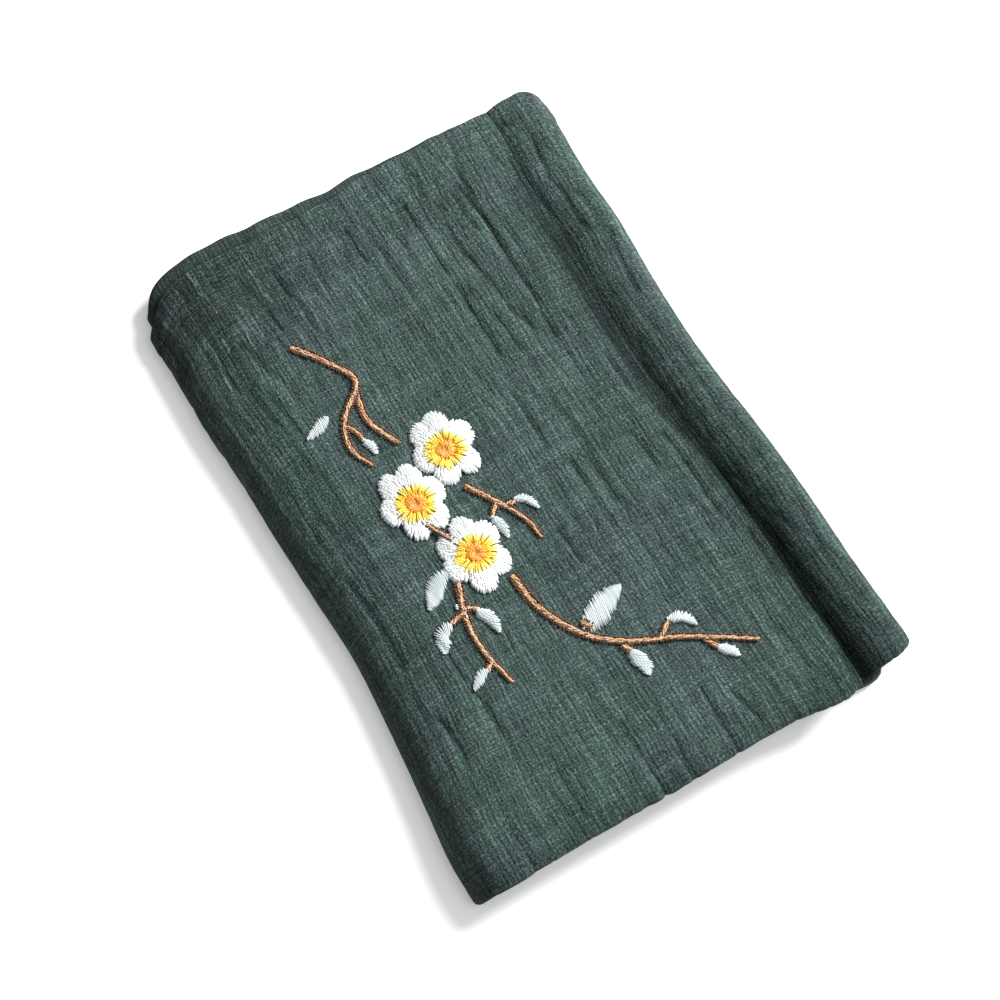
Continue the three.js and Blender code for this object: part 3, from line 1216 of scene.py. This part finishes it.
def thin_lines(pattern, kind):
    """1 where a noise passes a level, 0 a little away from there."""
    return clamped(1.0 - abs(pattern - kind["level"]) * kind["sharpness"])


def corner_share(across, along):
    """1 at the top panel's far left corner, where the weave shows most, 0 away from it."""
    beside = (across - CORNER["across"]) / CORNER["half_width"]
    below = along / CORNER["length"]
    return clamped(1.0 - (beside * beside + below * below))


def loose_lines(across, along, warp_place, weft_place):
    """Dark furrows, pale strands and crossing gaps, each as a tone or depth from 0 to 1."""
    corner = corner_share(across, along)
    thin = cloth_texture(warp_place, along, THIN["size"], THIN["seed"])
    cross = cloth_texture(across, weft_place, CROSS["size"], CROSS["seed"])
    furrow = thin_lines(thin, FURROW)
    strand = thin_lines(thin, STRAND) * (corner * STRAND["at_corner"] + STRAND["tone"])
    return furrow, strand, thin_lines(cross, CROSS) * corner


print("the loose corner is", CORNER["length"], "mm long")

# %% [markdown]
# ## The gauze's tone and relief
#
# The tone of each place is a sum: how high the yarn stands, which paints light on the yarn tops and
# shade between them, the yarn's own tone, a fine grain of fibres, the strands, and less for gaps
# and furrows, which is partly their own darkness and partly painted shade in them. The same
# patterns make the relief, so that light and colour agree. A second picture, the tint, has wide
# faint patches and flecks of green and blue-grey, which keep a large surface from looking printed.

# %% Gauze tone and relief
GRAIN = {"size": (0.42, 0.46), "seed": 5.0, "far": 1.75, "fade": 0.0035, "depth": 2.0}
# The height share is painted light on the yarn tops and painted shade between them.
TONE = {"height": 0.22, "yarn": 0.52, "base": 0.025}
YARN_RELIEF = 0.6
PATCH = {"size": (26.0, 30.0), "seed": 60.0, "weight": 2.4}
FLECK = {"size": (2.2, 2.6), "seed": 71.0, "weight": 2.2}
PATCH_LEVEL = 1.8
GREEN_TINT = (0.9, 1.05, 0.95)
BLUE_TINT = (1.05, 0.97, 1.12)


def gauze_tint(across, along):
    patch = cloth_texture(across, along, PATCH["size"], PATCH["seed"])
    fleck = cloth_texture(across, along, FLECK["size"], FLECK["seed"])
    share = patch * PATCH["weight"] + fleck * FLECK["weight"] - PATCH_LEVEL
    return blend_colors(clamped(share), GREEN_TINT, BLUE_TINT)


def gauze_patterns(tree):
    """The gauze's tone, tint and relief."""
    places = swaying(tree)
    across, along = places[:2]
    height, yarn_tone = weave(*places)
    furrow, strand, cross = loose_lines(*places)
    grain = cloth_texture(across, along, GRAIN["size"], GRAIN["seed"], detail=3.0)
    grain_weight = along * -GRAIN["fade"] + GRAIN["far"]
    tone = (grain - 0.5) * grain_weight + (height * TONE["height"] + yarn_tone * TONE["yarn"])
    # Crossing gaps and furrows are darker: partly their own darkness, partly painted shade in them.
    tone = tone + TONE["base"] + strand - cross * CROSS_WEIGHT["tone"]
    tone = clamped(tone - furrow * FURROW["tone"])
    bumps = height * YARN_RELIEF - furrow * FURROW["depth"] - cross * CROSS_WEIGHT["depth"]
    return tone, gauze_tint(across, along), bumps + grain * GRAIN["depth"]


print("patterns of the gauze:", gauze_patterns.__doc__)

# %% [markdown]
# ## The gauze's finish
#
# A ramp of three dark greens turns the tone into a colour, the tint is multiplied in, and the
# painted shade of the hollows and dim places darkens it towards black. Gloss and sheen fade in the
# same places, as part of that painted shade, because light doesn't get there. Cotton is matt, so
# the roughness is high, and a little sheen stands for loose fibres.

# %% Gauze material
GAUZE_DARK = (0.004, 0.009, 0.008)
GAUZE_MIDDLE = (0.044, 0.077, 0.067)
GAUZE_LIGHT = (0.185, 0.255, 0.232)
BLACK = (0.0, 0.0, 0.0)
PAINTED_SHADE_STRENGTH = 0.9
GLEAM = 0.25
SHEEN_SHARE = 0.32
GAUZE_RELIEF = {"strength": 0.85, "distance": 0.2}


def make_gauze():
    finish, shader = new_finish("crinkled_gauze")
    tone, tint, bumps = gauze_patterns(finish.node_tree)
    color = color_ramp(tone, (0.05, GAUZE_DARK), (0.46, GAUZE_MIDDLE), (0.95, GAUZE_LIGHT))
    color = blend_colors(1.0, color, tint, "MULTIPLY")
    # Painted shade: the colour is blended towards black, and gloss and sheen fade, where the mesh's
    # attribute marks shade.
    painted_shade_share = clamped(read_attribute(finish.node_tree, "painted_shade", 2) * PAINTED_SHADE_STRENGTH)
    gleam = (1.0 - painted_shade_share) * GLEAM
    feed(
        shader,
        Base_Color=blend_colors(painted_shade_share, color, BLACK),
        Roughness=0.92,
        Specular_IOR_Level=gleam,
        Sheen_Weight=gleam * SHEEN_SHARE,
        Sheen_Roughness=0.6,
        Normal=relief(bumps, **GAUZE_RELIEF),
    )
    return finish


gauze = make_gauze()
towel.data.materials.append(gauze)
print("gauze nodes:", len(gauze.node_tree.nodes))

# %% [markdown]
# ## A thread
#
# Everything that is sewn here is made of stitches, and a stitch is a short piece of thread.
# One straight thread is made first: a cylinder along X whose long edges are subdivided, so
# that it can bend. A curve with a round profile would do as well, but thousands of curves are
# slow to join, and a mesh can be copied into one bmesh again and again.

# %% Thread mesh
THREAD_SIDES = 5
THREAD_PARTS = 5


def make_thread_mesh():
    """A straight thread of unit length and radius along X."""
    work = bmesh.new()
    bmesh.ops.create_cone(
        work,
        cap_ends=True,
        cap_tris=False,
        segments=THREAD_SIDES,
        radius1=1.0,
        radius2=1.0,
        depth=1.0,
    )
    long_edges = [e for e in work.edges if abs(e.verts[0].co.z - e.verts[1].co.z) > 0.5]
    bmesh.ops.subdivide_edges(work, edges=long_edges, cuts=THREAD_PARTS - 1)
    bmesh.ops.rotate(work, verts=work.verts, matrix=Matrix.Rotation(math.pi / 2, 3, "Y"))
    bmesh.ops.translate(work, verts=work.verts, vec=(0.5, 0.0, 0.0))
    bmesh.ops.recalc_face_normals(work, faces=work.faces)
    return take_mesh(work, "thread")


thread_mesh = make_thread_mesh()
print("faces of one thread:", len(thread_mesh.polygons))

# %% [markdown]
# ## A stitch
#
# A stitch goes down into the cloth at both ends and stands a little proud between them. Each
# one is a copy of the straight thread, laid point by point over the real surface of the towel,
# which a ray finds from above. A texture of threads would be quicker, but it would stay flat
# at the petals' edges. Each point also keeps its place round and along the thread, for the
# thread's finish.

# %% Stitch maker
ABOVE = 20 * MM
THREAD_END = 0.55
THREAD_RISE = 0.45

surface = BVHTree.FromObject(towel, bpy.context.evaluated_depsgraph_get())


def on_cloth(x, y):
    """The highest point of the cloth over a place in the tables, in metres."""
    start = to_metres(Vector((x, y, 0)))
    start.z = ABOVE
    return surface.ray_cast(start, Vector((0, 0, -1)))[0]


class Sewing:
    """Collects the stitches of one piece of embroidery in a bmesh."""

    def __init__(self):
        self.work = bmesh.new()
        self.thread = self.work.verts.layers.float_vector.new("thread")
        self.tone = self.work.verts.layers.float.new("tone")
        self.count = 0

    def stitch(self, start, end, radius, arch, tones, lift=0.0):
        """A thread from start to end, places in the tables, with a tone at each end."""
        here = Vector(start)
        step = Vector(end) - here
        length = step.length
        side = Vector((-step.y, step.x, 0.0)).normalized()
        line = {}
        self.work.from_mesh(thread_mesh)
        self.work.verts.ensure_lookup_table()
        for vertex in self.work.verts[-len(thread_mesh.vertices) :]:
            t, across, up = vertex.co
            key = round(t, 3)
            if key not in line:
                line[key] = on_cloth(here.x + step.x * t, here.y + step.y * t)
            # Nearly 1 along the thread, falling to 0 at both of its ends.
            full = 1 - (2 * t - 1) ** 4
            thick = radius * mix(THREAD_END, 1.0, math.sqrt(max(0.0, full)))
            height = lift + arch * full + THREAD_RISE * radius
            vertex[self.thread] = (across, up, t * length)
            vertex[self.tone] = mix(*tones, t)
            centre = line[key] + Vector((0, 0, height)) * MM
            vertex.co = centre + (side * across + Vector((0, 0, up))) * thick * MM
        self.count += 1

    def finish(self, name, finish):
        for face in self.work.faces:
            face.smooth = True
        mesh = take_mesh(self.work, name)
        mesh.materials.append(finish)
        print(name, "stitches:", self.count)
        return join_scene(name, mesh)


print("cloth height under the middle blossom:", round(on_cloth(-16, 2).z / MM, 2), "mm")

# %% [markdown]
# ## Embroidery threads
#
# The spray is sewn with a shiny cotton thread in three colours. A thread is two plies twisted
# together, so its height is a wave that winds round it. Each point of a stitch knows its place
# round and along the thread, which turns the wave into a sum of a sine and a cosine with no seam.
# The wave also paints a little shade between the plies into the colour. The tone attribute then
# picks a colour from a short ramp, so that one material serves for pale and deep stitches of the
# same hank.

# %% Thread materials
PLY_TURNS = 1.6
PLY_PAINTED_SHADE = 0.07
PLY_RELIEF = {"strength": 0.5, "distance": 0.05}
LINT = {"scale": 900.0, "weight": 0.3}


def make_thread_finish(name, roughness, sheen, *stops):
    finish, shader = new_finish(name)
    tree = finish.node_tree
    across, up, along = parts_of(read_attribute(tree, "thread", 1))
    winding = along * (2 * math.pi * PLY_TURNS)
    ply = across * compute("COSINE", winding) + up * compute("SINE", winding)
    # Output 3 is the Object coordinates.
    here = add_node(tree, "ShaderNodeTexCoord", output=3)
    lint = add_node(tree, "ShaderNodeTexNoise", Vector=here, Scale=LINT["scale"], Detail=2.0)
    # Painted shade between the plies: the twist wave darkens the tone a little.
    tone = ply * PLY_PAINTED_SHADE + read_attribute(tree, "tone", 2)
    tone = clamped(tone + (lint - 0.5) * LINT["weight"])
    feed(
        shader,
        Base_Color=color_ramp(tone, *stops),
        Roughness=roughness,
        Sheen_Weight=sheen,
        Sheen_Roughness=0.4,
        Normal=relief(ply, **PLY_RELIEF),
    )
    return finish


white_thread = make_thread_finish(
    "white_thread", 0.5, 0.15, (0.0, (0.46, 0.53, 0.54)), (1.0, (0.86, 0.885, 0.89))
)
gold_thread = make_thread_finish(
    "gold_thread",
    0.45,
    0.1,
    (0.0, (0.13, 0.1, 0.025)),
    (0.25, (0.84, 0.26, 0.045)),
    (0.5, (0.86, 0.46, 0.02)),
    (0.75, (0.91, 0.67, 0.06)),
    (1.0, (1.0, 0.9, 0.5)),
)
# The darkest stops colour the painted shade dots at a twig's edges, the palest the painted
# highlight along its crest.
brown_thread = make_thread_finish(
    "brown_thread",
    0.45,
    0.1,
    (0.0, (0.05, 0.02, 0.011)),
    (0.3, (0.26, 0.11, 0.04)),
    (0.6, (0.56, 0.31, 0.15)),
    (0.8, (0.66, 0.46, 0.27)),
    (1.0, (0.74, 0.56, 0.44)),
)
print("threads:", [thread.name for thread in (white_thread, gold_thread, brown_thread)])

# %% [markdown]
# ## The blossoms' shape
#
# Three open blossoms of six round petals lie over each other's edges, each about 13 by 17 mm,
# because the gauze draws in across its width and takes the stitches with it. Petals could be
# modelled one by one. Here they are only the rim at which the white stitches end: in each
# direction, the far side of the nearest round petal.

# %% The blossoms' shape
BLOSSOMS = make_rows(
    "name x y heart petals",
    ("upper", -10.3, 6.9, (-10.6, 6.1), (80, 14, -55, -120, -176, 128)),
    ("left", -21.5, -0.5, (-21.3, -1.2), (122, 66, 4, -55, -114, 180)),
    ("lower", -16.6, -16.1, (-16.3, -16.3), (82, 26, -38, -102, -170, 142)),
)
PETAL_MIDDLE = 5.5
PETAL_RADIUS = 3.2
PETAL_EDGE = 33.0
DRAWN_IN = 0.8


def rim(angle, petals):
    """How far a blossom reaches in one direction: the far side of the nearest round petal."""
    nearest = min(abs((angle - p + 180) % 360 - 180) for p in petals)
    turned = math.radians(min(nearest, PETAL_EDGE))
    across = PETAL_MIDDLE * math.sin(turned)
    return PETAL_MIDDLE * math.cos(turned) + math.sqrt(PETAL_RADIUS**2 - across**2)


print("petal tip and notch at", [round(rim(angle, (0, 60)), 1) for angle in (0, 30)], "mm")

# %% [markdown]
# ## Sewing the blossoms
#
# Long and short white stitches run out from the middle to the rim in three overlapping rings.
# The heart is a gold ring, an orange middle and thin dark stitches like stamens. On the real
# towel it is sewn last and sits a little beside the petals' middle. All stitches come from a
# few rings of named sizes, and a fixed seed makes them uneven, because soft gauze gives under
# the needle.

# %% Blossoms
ARCH = 0.3
BLOSSOM_SEED = 100
RING_COLUMNS = "count near far rim ragged lift radius tones"
# Each petal stitch's tone falls a little from the heart to the rim, as painted shade at the petals'
# rims.
PETAL_RINGS = make_rows(
    RING_COLUMNS,
    (230, 5.2, 0.0, 1.0, 0.16, 0.0, 0.28, (0.85, 0.75)),
    (180, 4.4, -0.3, 0.96, 0.35, 0.1, 0.28, (0.85, 0.75)),
    (110, 2.8, -0.2, 0.8, 0.5, 0.22, 0.28, (0.85, 0.75)),
)
HEART_RINGS = make_rows(
    RING_COLUMNS,
    (84, 1.7, 4.5, 0.0, 0.6, 0.36, 0.28, (0.36, 1.0)),
    (34, 0.1, 2.3, 0.0, 0.4, 0.46, 0.28, (0.22, 0.4)),
    (15, 2.2, 4.5, 0.0, 0.6, 0.6, 0.14, (-0.08, -0.08)),
)


def direction(angle, drawn):
    """A way out from a blossom's middle, drawn in across the cloth."""
    turned = math.radians(angle)
    return Vector((math.cos(turned) * drawn, math.sin(turned)))


def sew_ring(sewing, row, chance):
    """A ring of radial stitches, up to a share of the petals' rim or to a circle."""
    to_rim = row["rim"] > 0
    middle = Vector((row["x"], row["y"]) if to_rim else row["heart"])
    drawn = DRAWN_IN if to_rim else 1.0
    for i in range(row["count"]):
        angle = 360 * (i + chance.uniform(-0.3, 0.3)) / row["count"]
        near = row["near"] + chance.uniform(-1, 1) * row["ragged"]
        far = row["far"] + chance.uniform(-1, 1) * row["ragged"]
        far += row["rim"] * rim(angle, row["petals"])
        leaning = direction(angle + chance.uniform(-3, 3), drawn)
        start = middle + direction(angle, drawn) * near
        shade = chance.uniform(-0.1, 0.1)
        tones = [tone + shade for tone in row["tones"]]
        sewing.stitch(start, middle + leaning * far, row["radius"], ARCH, tones, row["lift"])


def sew_rows(rows, sew, name, finish, chance):
    """One piece of embroidery: each row of a table is sewn by the same function."""
    sewing = Sewing()
    for row in rows:
        sew(sewing, row, chance)
    return sewing.finish(name, finish)


embroidery = []
for number, flower in enumerate(BLOSSOMS):
    chance = random.Random(BLOSSOM_SEED + number)
    name = f"blossom_{flower['name']}"
    rings = [{**flower, **ring} for ring in PETAL_RINGS]
    petals = sew_rows(rings, sew_ring, f"{name}_petals", white_thread, chance)
    rings = [{**flower, **ring} for ring in HEART_RINGS]
    heart = sew_rows(rings, sew_ring, f"{name}_heart", gold_thread, chance)
    embroidery += [petals, heart]

# %% [markdown]
# ## The twigs' lines
#
# Each twig, and each short stalk of a bud, is a soft curve through a few points, drawn where the
# spray has it. A row gives its points, its width at its root, the share of that width at its tip,
# and how far it is lifted where it lies on other stitches. A bezier curve would need handles, and
# the soft curve of the tables is at hand.

# %% The twigs' lines
TWIGS = make_rows(
    "points width tip lift",
    (((-26.5, 42.5), (-21.6, 35.5), (-18.5, 29.5), (-20.5, 26)), 1.9, 0.8, 0.0),
    (((-20.3, 26.5), (-24.8, 22), (-26.6, 16), (-24.6, 10.5)), 1.8, 0.7, 0.0),
    (((-19.7, 27), (-20.7, 20), (-17.7, 12.1)), 1.8, 0.8, 0.0),
    (((-25.1, 21), (-23.8, 18.3), (-23.5, 16)), 1.4, 0.8, 0.0),
    (((-22.6, -4), (-20.3, -8.7), (-18.5, -12)), 0.9, 1.0, 0.5),
    (((-10.9, -2.3), (-6.5, -9.5), (-4, -14.5), (-3.2, -19.5)), 1.7, 0.6, 0.0),
    (((-7.3, -8.7), (-9.5, -10.7)), 1.5, 1.0, 0.0),
    (((-6.2, -10), (-3.7, -10.1)), 1.6, 1.0, 0.0),
    (
        ((-12.3, -23.5), (-11.3, -31.5), (-6.8, -40.5), (-0.3, -46.1), (9.7, -50.7), (22.3, -58.3)),
        2.0,
        0.55,
        0.0,
    ),
    (((5.9, -48.9), (9, -46.7)), 1.5, 0.9, 0.0),
    (((-1, -46.5), (-0.1, -48.9)), 1.9, 1.0, 0.0),
    (((13.2, -53.1), (14.7, -56.1)), 1.5, 1.0, 0.0),
    (((-5.6, -38.7), (-4.3, -40.8)), 1.7, 1.0, 0.35),
    (((-22.2, -19.8), (-24.5, -27.5), (-24.8, -34.5), (-23.1, -42.8)), 1.8, 0.6, 0.0),
    (((-24.3, -25.8), (-27.7, -26.7)), 1.5, 1.0, 0.0),
    (((-23.6, -24.9), (-21.3, -26.7)), 1.5, 1.0, 0.0),
    (((-24.6, -37.1), (-26.3, -38.7)), 1.4, 1.0, 0.0),
)
SIDE_PROBE = 0.1


class SoftPath:
    """A soft curve through a few points, read by the distance along it."""

    def __init__(self, points):
        self.rows = [{"s": 0.0, "x": points[0][0], "y": points[0][1]}]
        for a, b in zip(points, points[1:]):
            s = self.rows[-1]["s"] + math.dist(a, b)
            self.rows.append({"s": s, "x": b[0], "y": b[1]})
        self.length = self.rows[-1]["s"]

    def at(self, s):
        return Vector([follow(self.rows, "s", column, s) for column in "xy"])

    def side(self, s):
        way = self.at(s + SIDE_PROBE) - self.at(s - SIDE_PROBE)
        return Vector((-way.y, way.x)).normalized()


print("twigs and stalks:", len(TWIGS))

# %% [markdown]
# ## Sewing the twigs
#
# A twig is a narrow raised line. Short satin stitches of mid brown cross it, near-black dots of
# thread stand along both of its edges as painted shade at its sides, and a thin raised rope of pale
# stitches along its middle is a painted highlight on its crest. One wide tube would be simpler, but
# its edge would be too smooth and its colour too even.

# %% Twigs
SATIN = {"step": 0.36, "share": 0.36, "slant": 0.3, "radius": 0.2, "arch": 0.04}
EDGE_SHADE_DOT = {"step": 0.56, "share": 0.45, "length": 0.66, "lean": 0.7, "radius": 0.2, "arch": 0.12}
CREST_HIGHLIGHT = {"step": 0.3, "share": 0.2, "length": 0.9, "sway": 0.12, "radius": 0.17, "arch": 0.05}
EDGE_SHADE_DOT_LIFT = 0.06
CREST_HIGHLIGHT_LIFT = 0.1
TWIG_SEED = 7


def sew_satin(stitch, path, width, chance):
    for s in steps(0, path.length, SATIN["step"]):
        half = path.side(s) * width(s) * SATIN["share"] * chance.uniform(0.75, 1.15)
        slant = path.at(s + SATIN["slant"]) - path.at(s)
        tone = chance.uniform(0.18, 0.52)
        stitch(path.at(s) - half, path.at(s) + half + slant, SATIN, (tone, tone), 0.0)


def sew_edge_shade_dots(stitch, path, width, chance):
    for way in (-1, 1):
        for s in steps(0.2, path.length, EDGE_SHADE_DOT["step"]):
            s += chance.uniform(-0.12, 0.12)
            out = path.side(s) * way
            middle = path.at(s) + out * width(s) * EDGE_SHADE_DOT["share"]
            along = Vector((out.y, -out.x)) * chance.uniform(-EDGE_SHADE_DOT["lean"], EDGE_SHADE_DOT["lean"])
            half = (out * EDGE_SHADE_DOT["lean"] + along) * EDGE_SHADE_DOT["length"] / 2
            # Near-black tones: painted shade at the twig's edge.
            tone = chance.uniform(0.0, 0.12)
            stitch(middle - half, middle + half, EDGE_SHADE_DOT, (tone, tone), EDGE_SHADE_DOT_LIFT)


def sew_crest_highlight(stitch, path, width, chance):
    half = min(CREST_HIGHLIGHT["length"], path.length) / 2
    for s in steps(0, path.length, CREST_HIGHLIGHT["step"]):
        middle = min(max(s, half), path.length - half)
        out = path.side(s) * width(s)
        shift = out * chance.uniform(-1, 1) * CREST_HIGHLIGHT["share"]
        sway = out * chance.uniform(0.0, CREST_HIGHLIGHT["sway"])
        # Pale tones: a painted highlight along the twig's crest.
        tone = chance.uniform(0.55, 1.0)
        start = path.at(middle - half) + shift - sway
        end = path.at(middle + half) + shift + sway
        stitch(start, end, CREST_HIGHLIGHT, (tone - 0.12, tone), CREST_HIGHLIGHT_LIFT)


def sew_twig(sewing, row, chance):
    path = SoftPath(row["points"])

    def width(s):
        return row["width"] * mix(1.0, row["tip"], s / path.length)

    def stitch(start, end, kind, tones, lift):
        lift += row["lift"]
        sewing.stitch(start, end, kind["radius"], kind["arch"], tones, lift)

    for sew in (sew_satin, sew_edge_shade_dots, sew_crest_highlight):
        sew(stitch, path, width, chance)


twigs = sew_rows(TWIGS, sew_twig, "twigs", brown_thread, random.Random(TWIG_SEED))
embroidery.append(twigs)

# %% [markdown]
# ## Buds and leaves
#
# The closed buds and small leaves are white satin stitch: threads side by side from one edge
# to the other, a little slanted, over a shape that is round near its root and pointed at its
# tip. They differ only in size and bend, so one function makes them all from a curved middle
# line and a width.

# %% Buds and leaves
BUDS = make_rows(
    "points width",
    (((-27.3, 24.4), (-30.3, 23.1), (-33.5, 22)), 2.7),
    (((-23.5, 16.5), (-22.9, 14.5), (-22.9, 12.1)), 2.1),
    (((-3.9, -9.5), (-1.9, -10.7), (-0.6, -14.1)), 2.0),
    (((-9.6, -10.7), (-8.9, -13.5), (-9.1, -16.7)), 2.3),
    (((-6.3, -39.7), (-0.8, -38.1), (5.1, -35.7)), 5.4),
    (((8.9, -46.1), (11.6, -47.1), (13.4, -50.3)), 2.5),
    (((0, -48.3), (0.1, -51.5), (-0.1, -54.5)), 3.5),
    (((14.5, -55.7), (15.9, -57.5), (17.1, -59.7)), 2.6),
    (((-27.5, -27.1), (-30.2, -27.9), (-31.7, -31.7)), 3.5),
    (((-21.7, -26.5), (-20.5, -29.3), (-20.3, -33.1)), 3.0),
    (((-26, -38.3), (-28.1, -38.9), (-30.5, -40.7)), 2.3),
    (((-22.9, -16.9), (-26.6, -18.7), (-30.1, -22.3)), 3.9),
    (((-24.7, -23.7), (-25.2, -24.9)), 0.8),
)
BUD = {"step": 0.36, "slant": 0.5, "radius": 0.2, "arch": 0.2, "padding": 0.05}
BUD_THINNEST = 0.3
BUD_SEED = 21


def bud_width(share):
    """Round near the root, widest before the middle, pointed at the tip."""
    return math.sin(math.pi * min(share, 1.0) ** 0.75) ** 0.7


def sew_bud(sewing, row, chance):
    path = SoftPath(row["points"])
    for s in steps(0.15, path.length - 0.1, BUD["step"]):
        half = row["width"] / 2 * bud_width(s / path.length) * chance.uniform(0.86, 1.14)
        half = max(half, BUD_THINNEST)
        slant = BUD["slant"] * half + chance.uniform(-0.14, 0.14)
        start = path.at(s - slant) - path.side(s) * half
        end = path.at(s + slant) + path.side(s) * half
        tone = chance.uniform(0.05, 0.45)
        arch = BUD["arch"] + BUD["padding"] * half
        sewing.stitch(start, end, BUD["radius"], arch, (tone, tone))


buds = sew_rows(BUDS, sew_bud, "buds_and_leaves", white_thread, random.Random(BUD_SEED))
embroidery.append(buds)

# %% [markdown]
# ## Attach everything to the part
#
# The gauze sheet stands for the solid in the packed part, and each piece of embroidery rides with
# the same body. The cloth's length is a little more than the folded path, because the crinkles draw
# it in.

# %% Attach to the part
for piece in [towel, *embroidery]:
    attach(piece, "root")
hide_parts("towel")
print("pieces on the part:", 1 + len(embroidery))

# %% [markdown]
# ## Sizes
#
# The embroidery stands out of the cloth by up to about one millimetre.
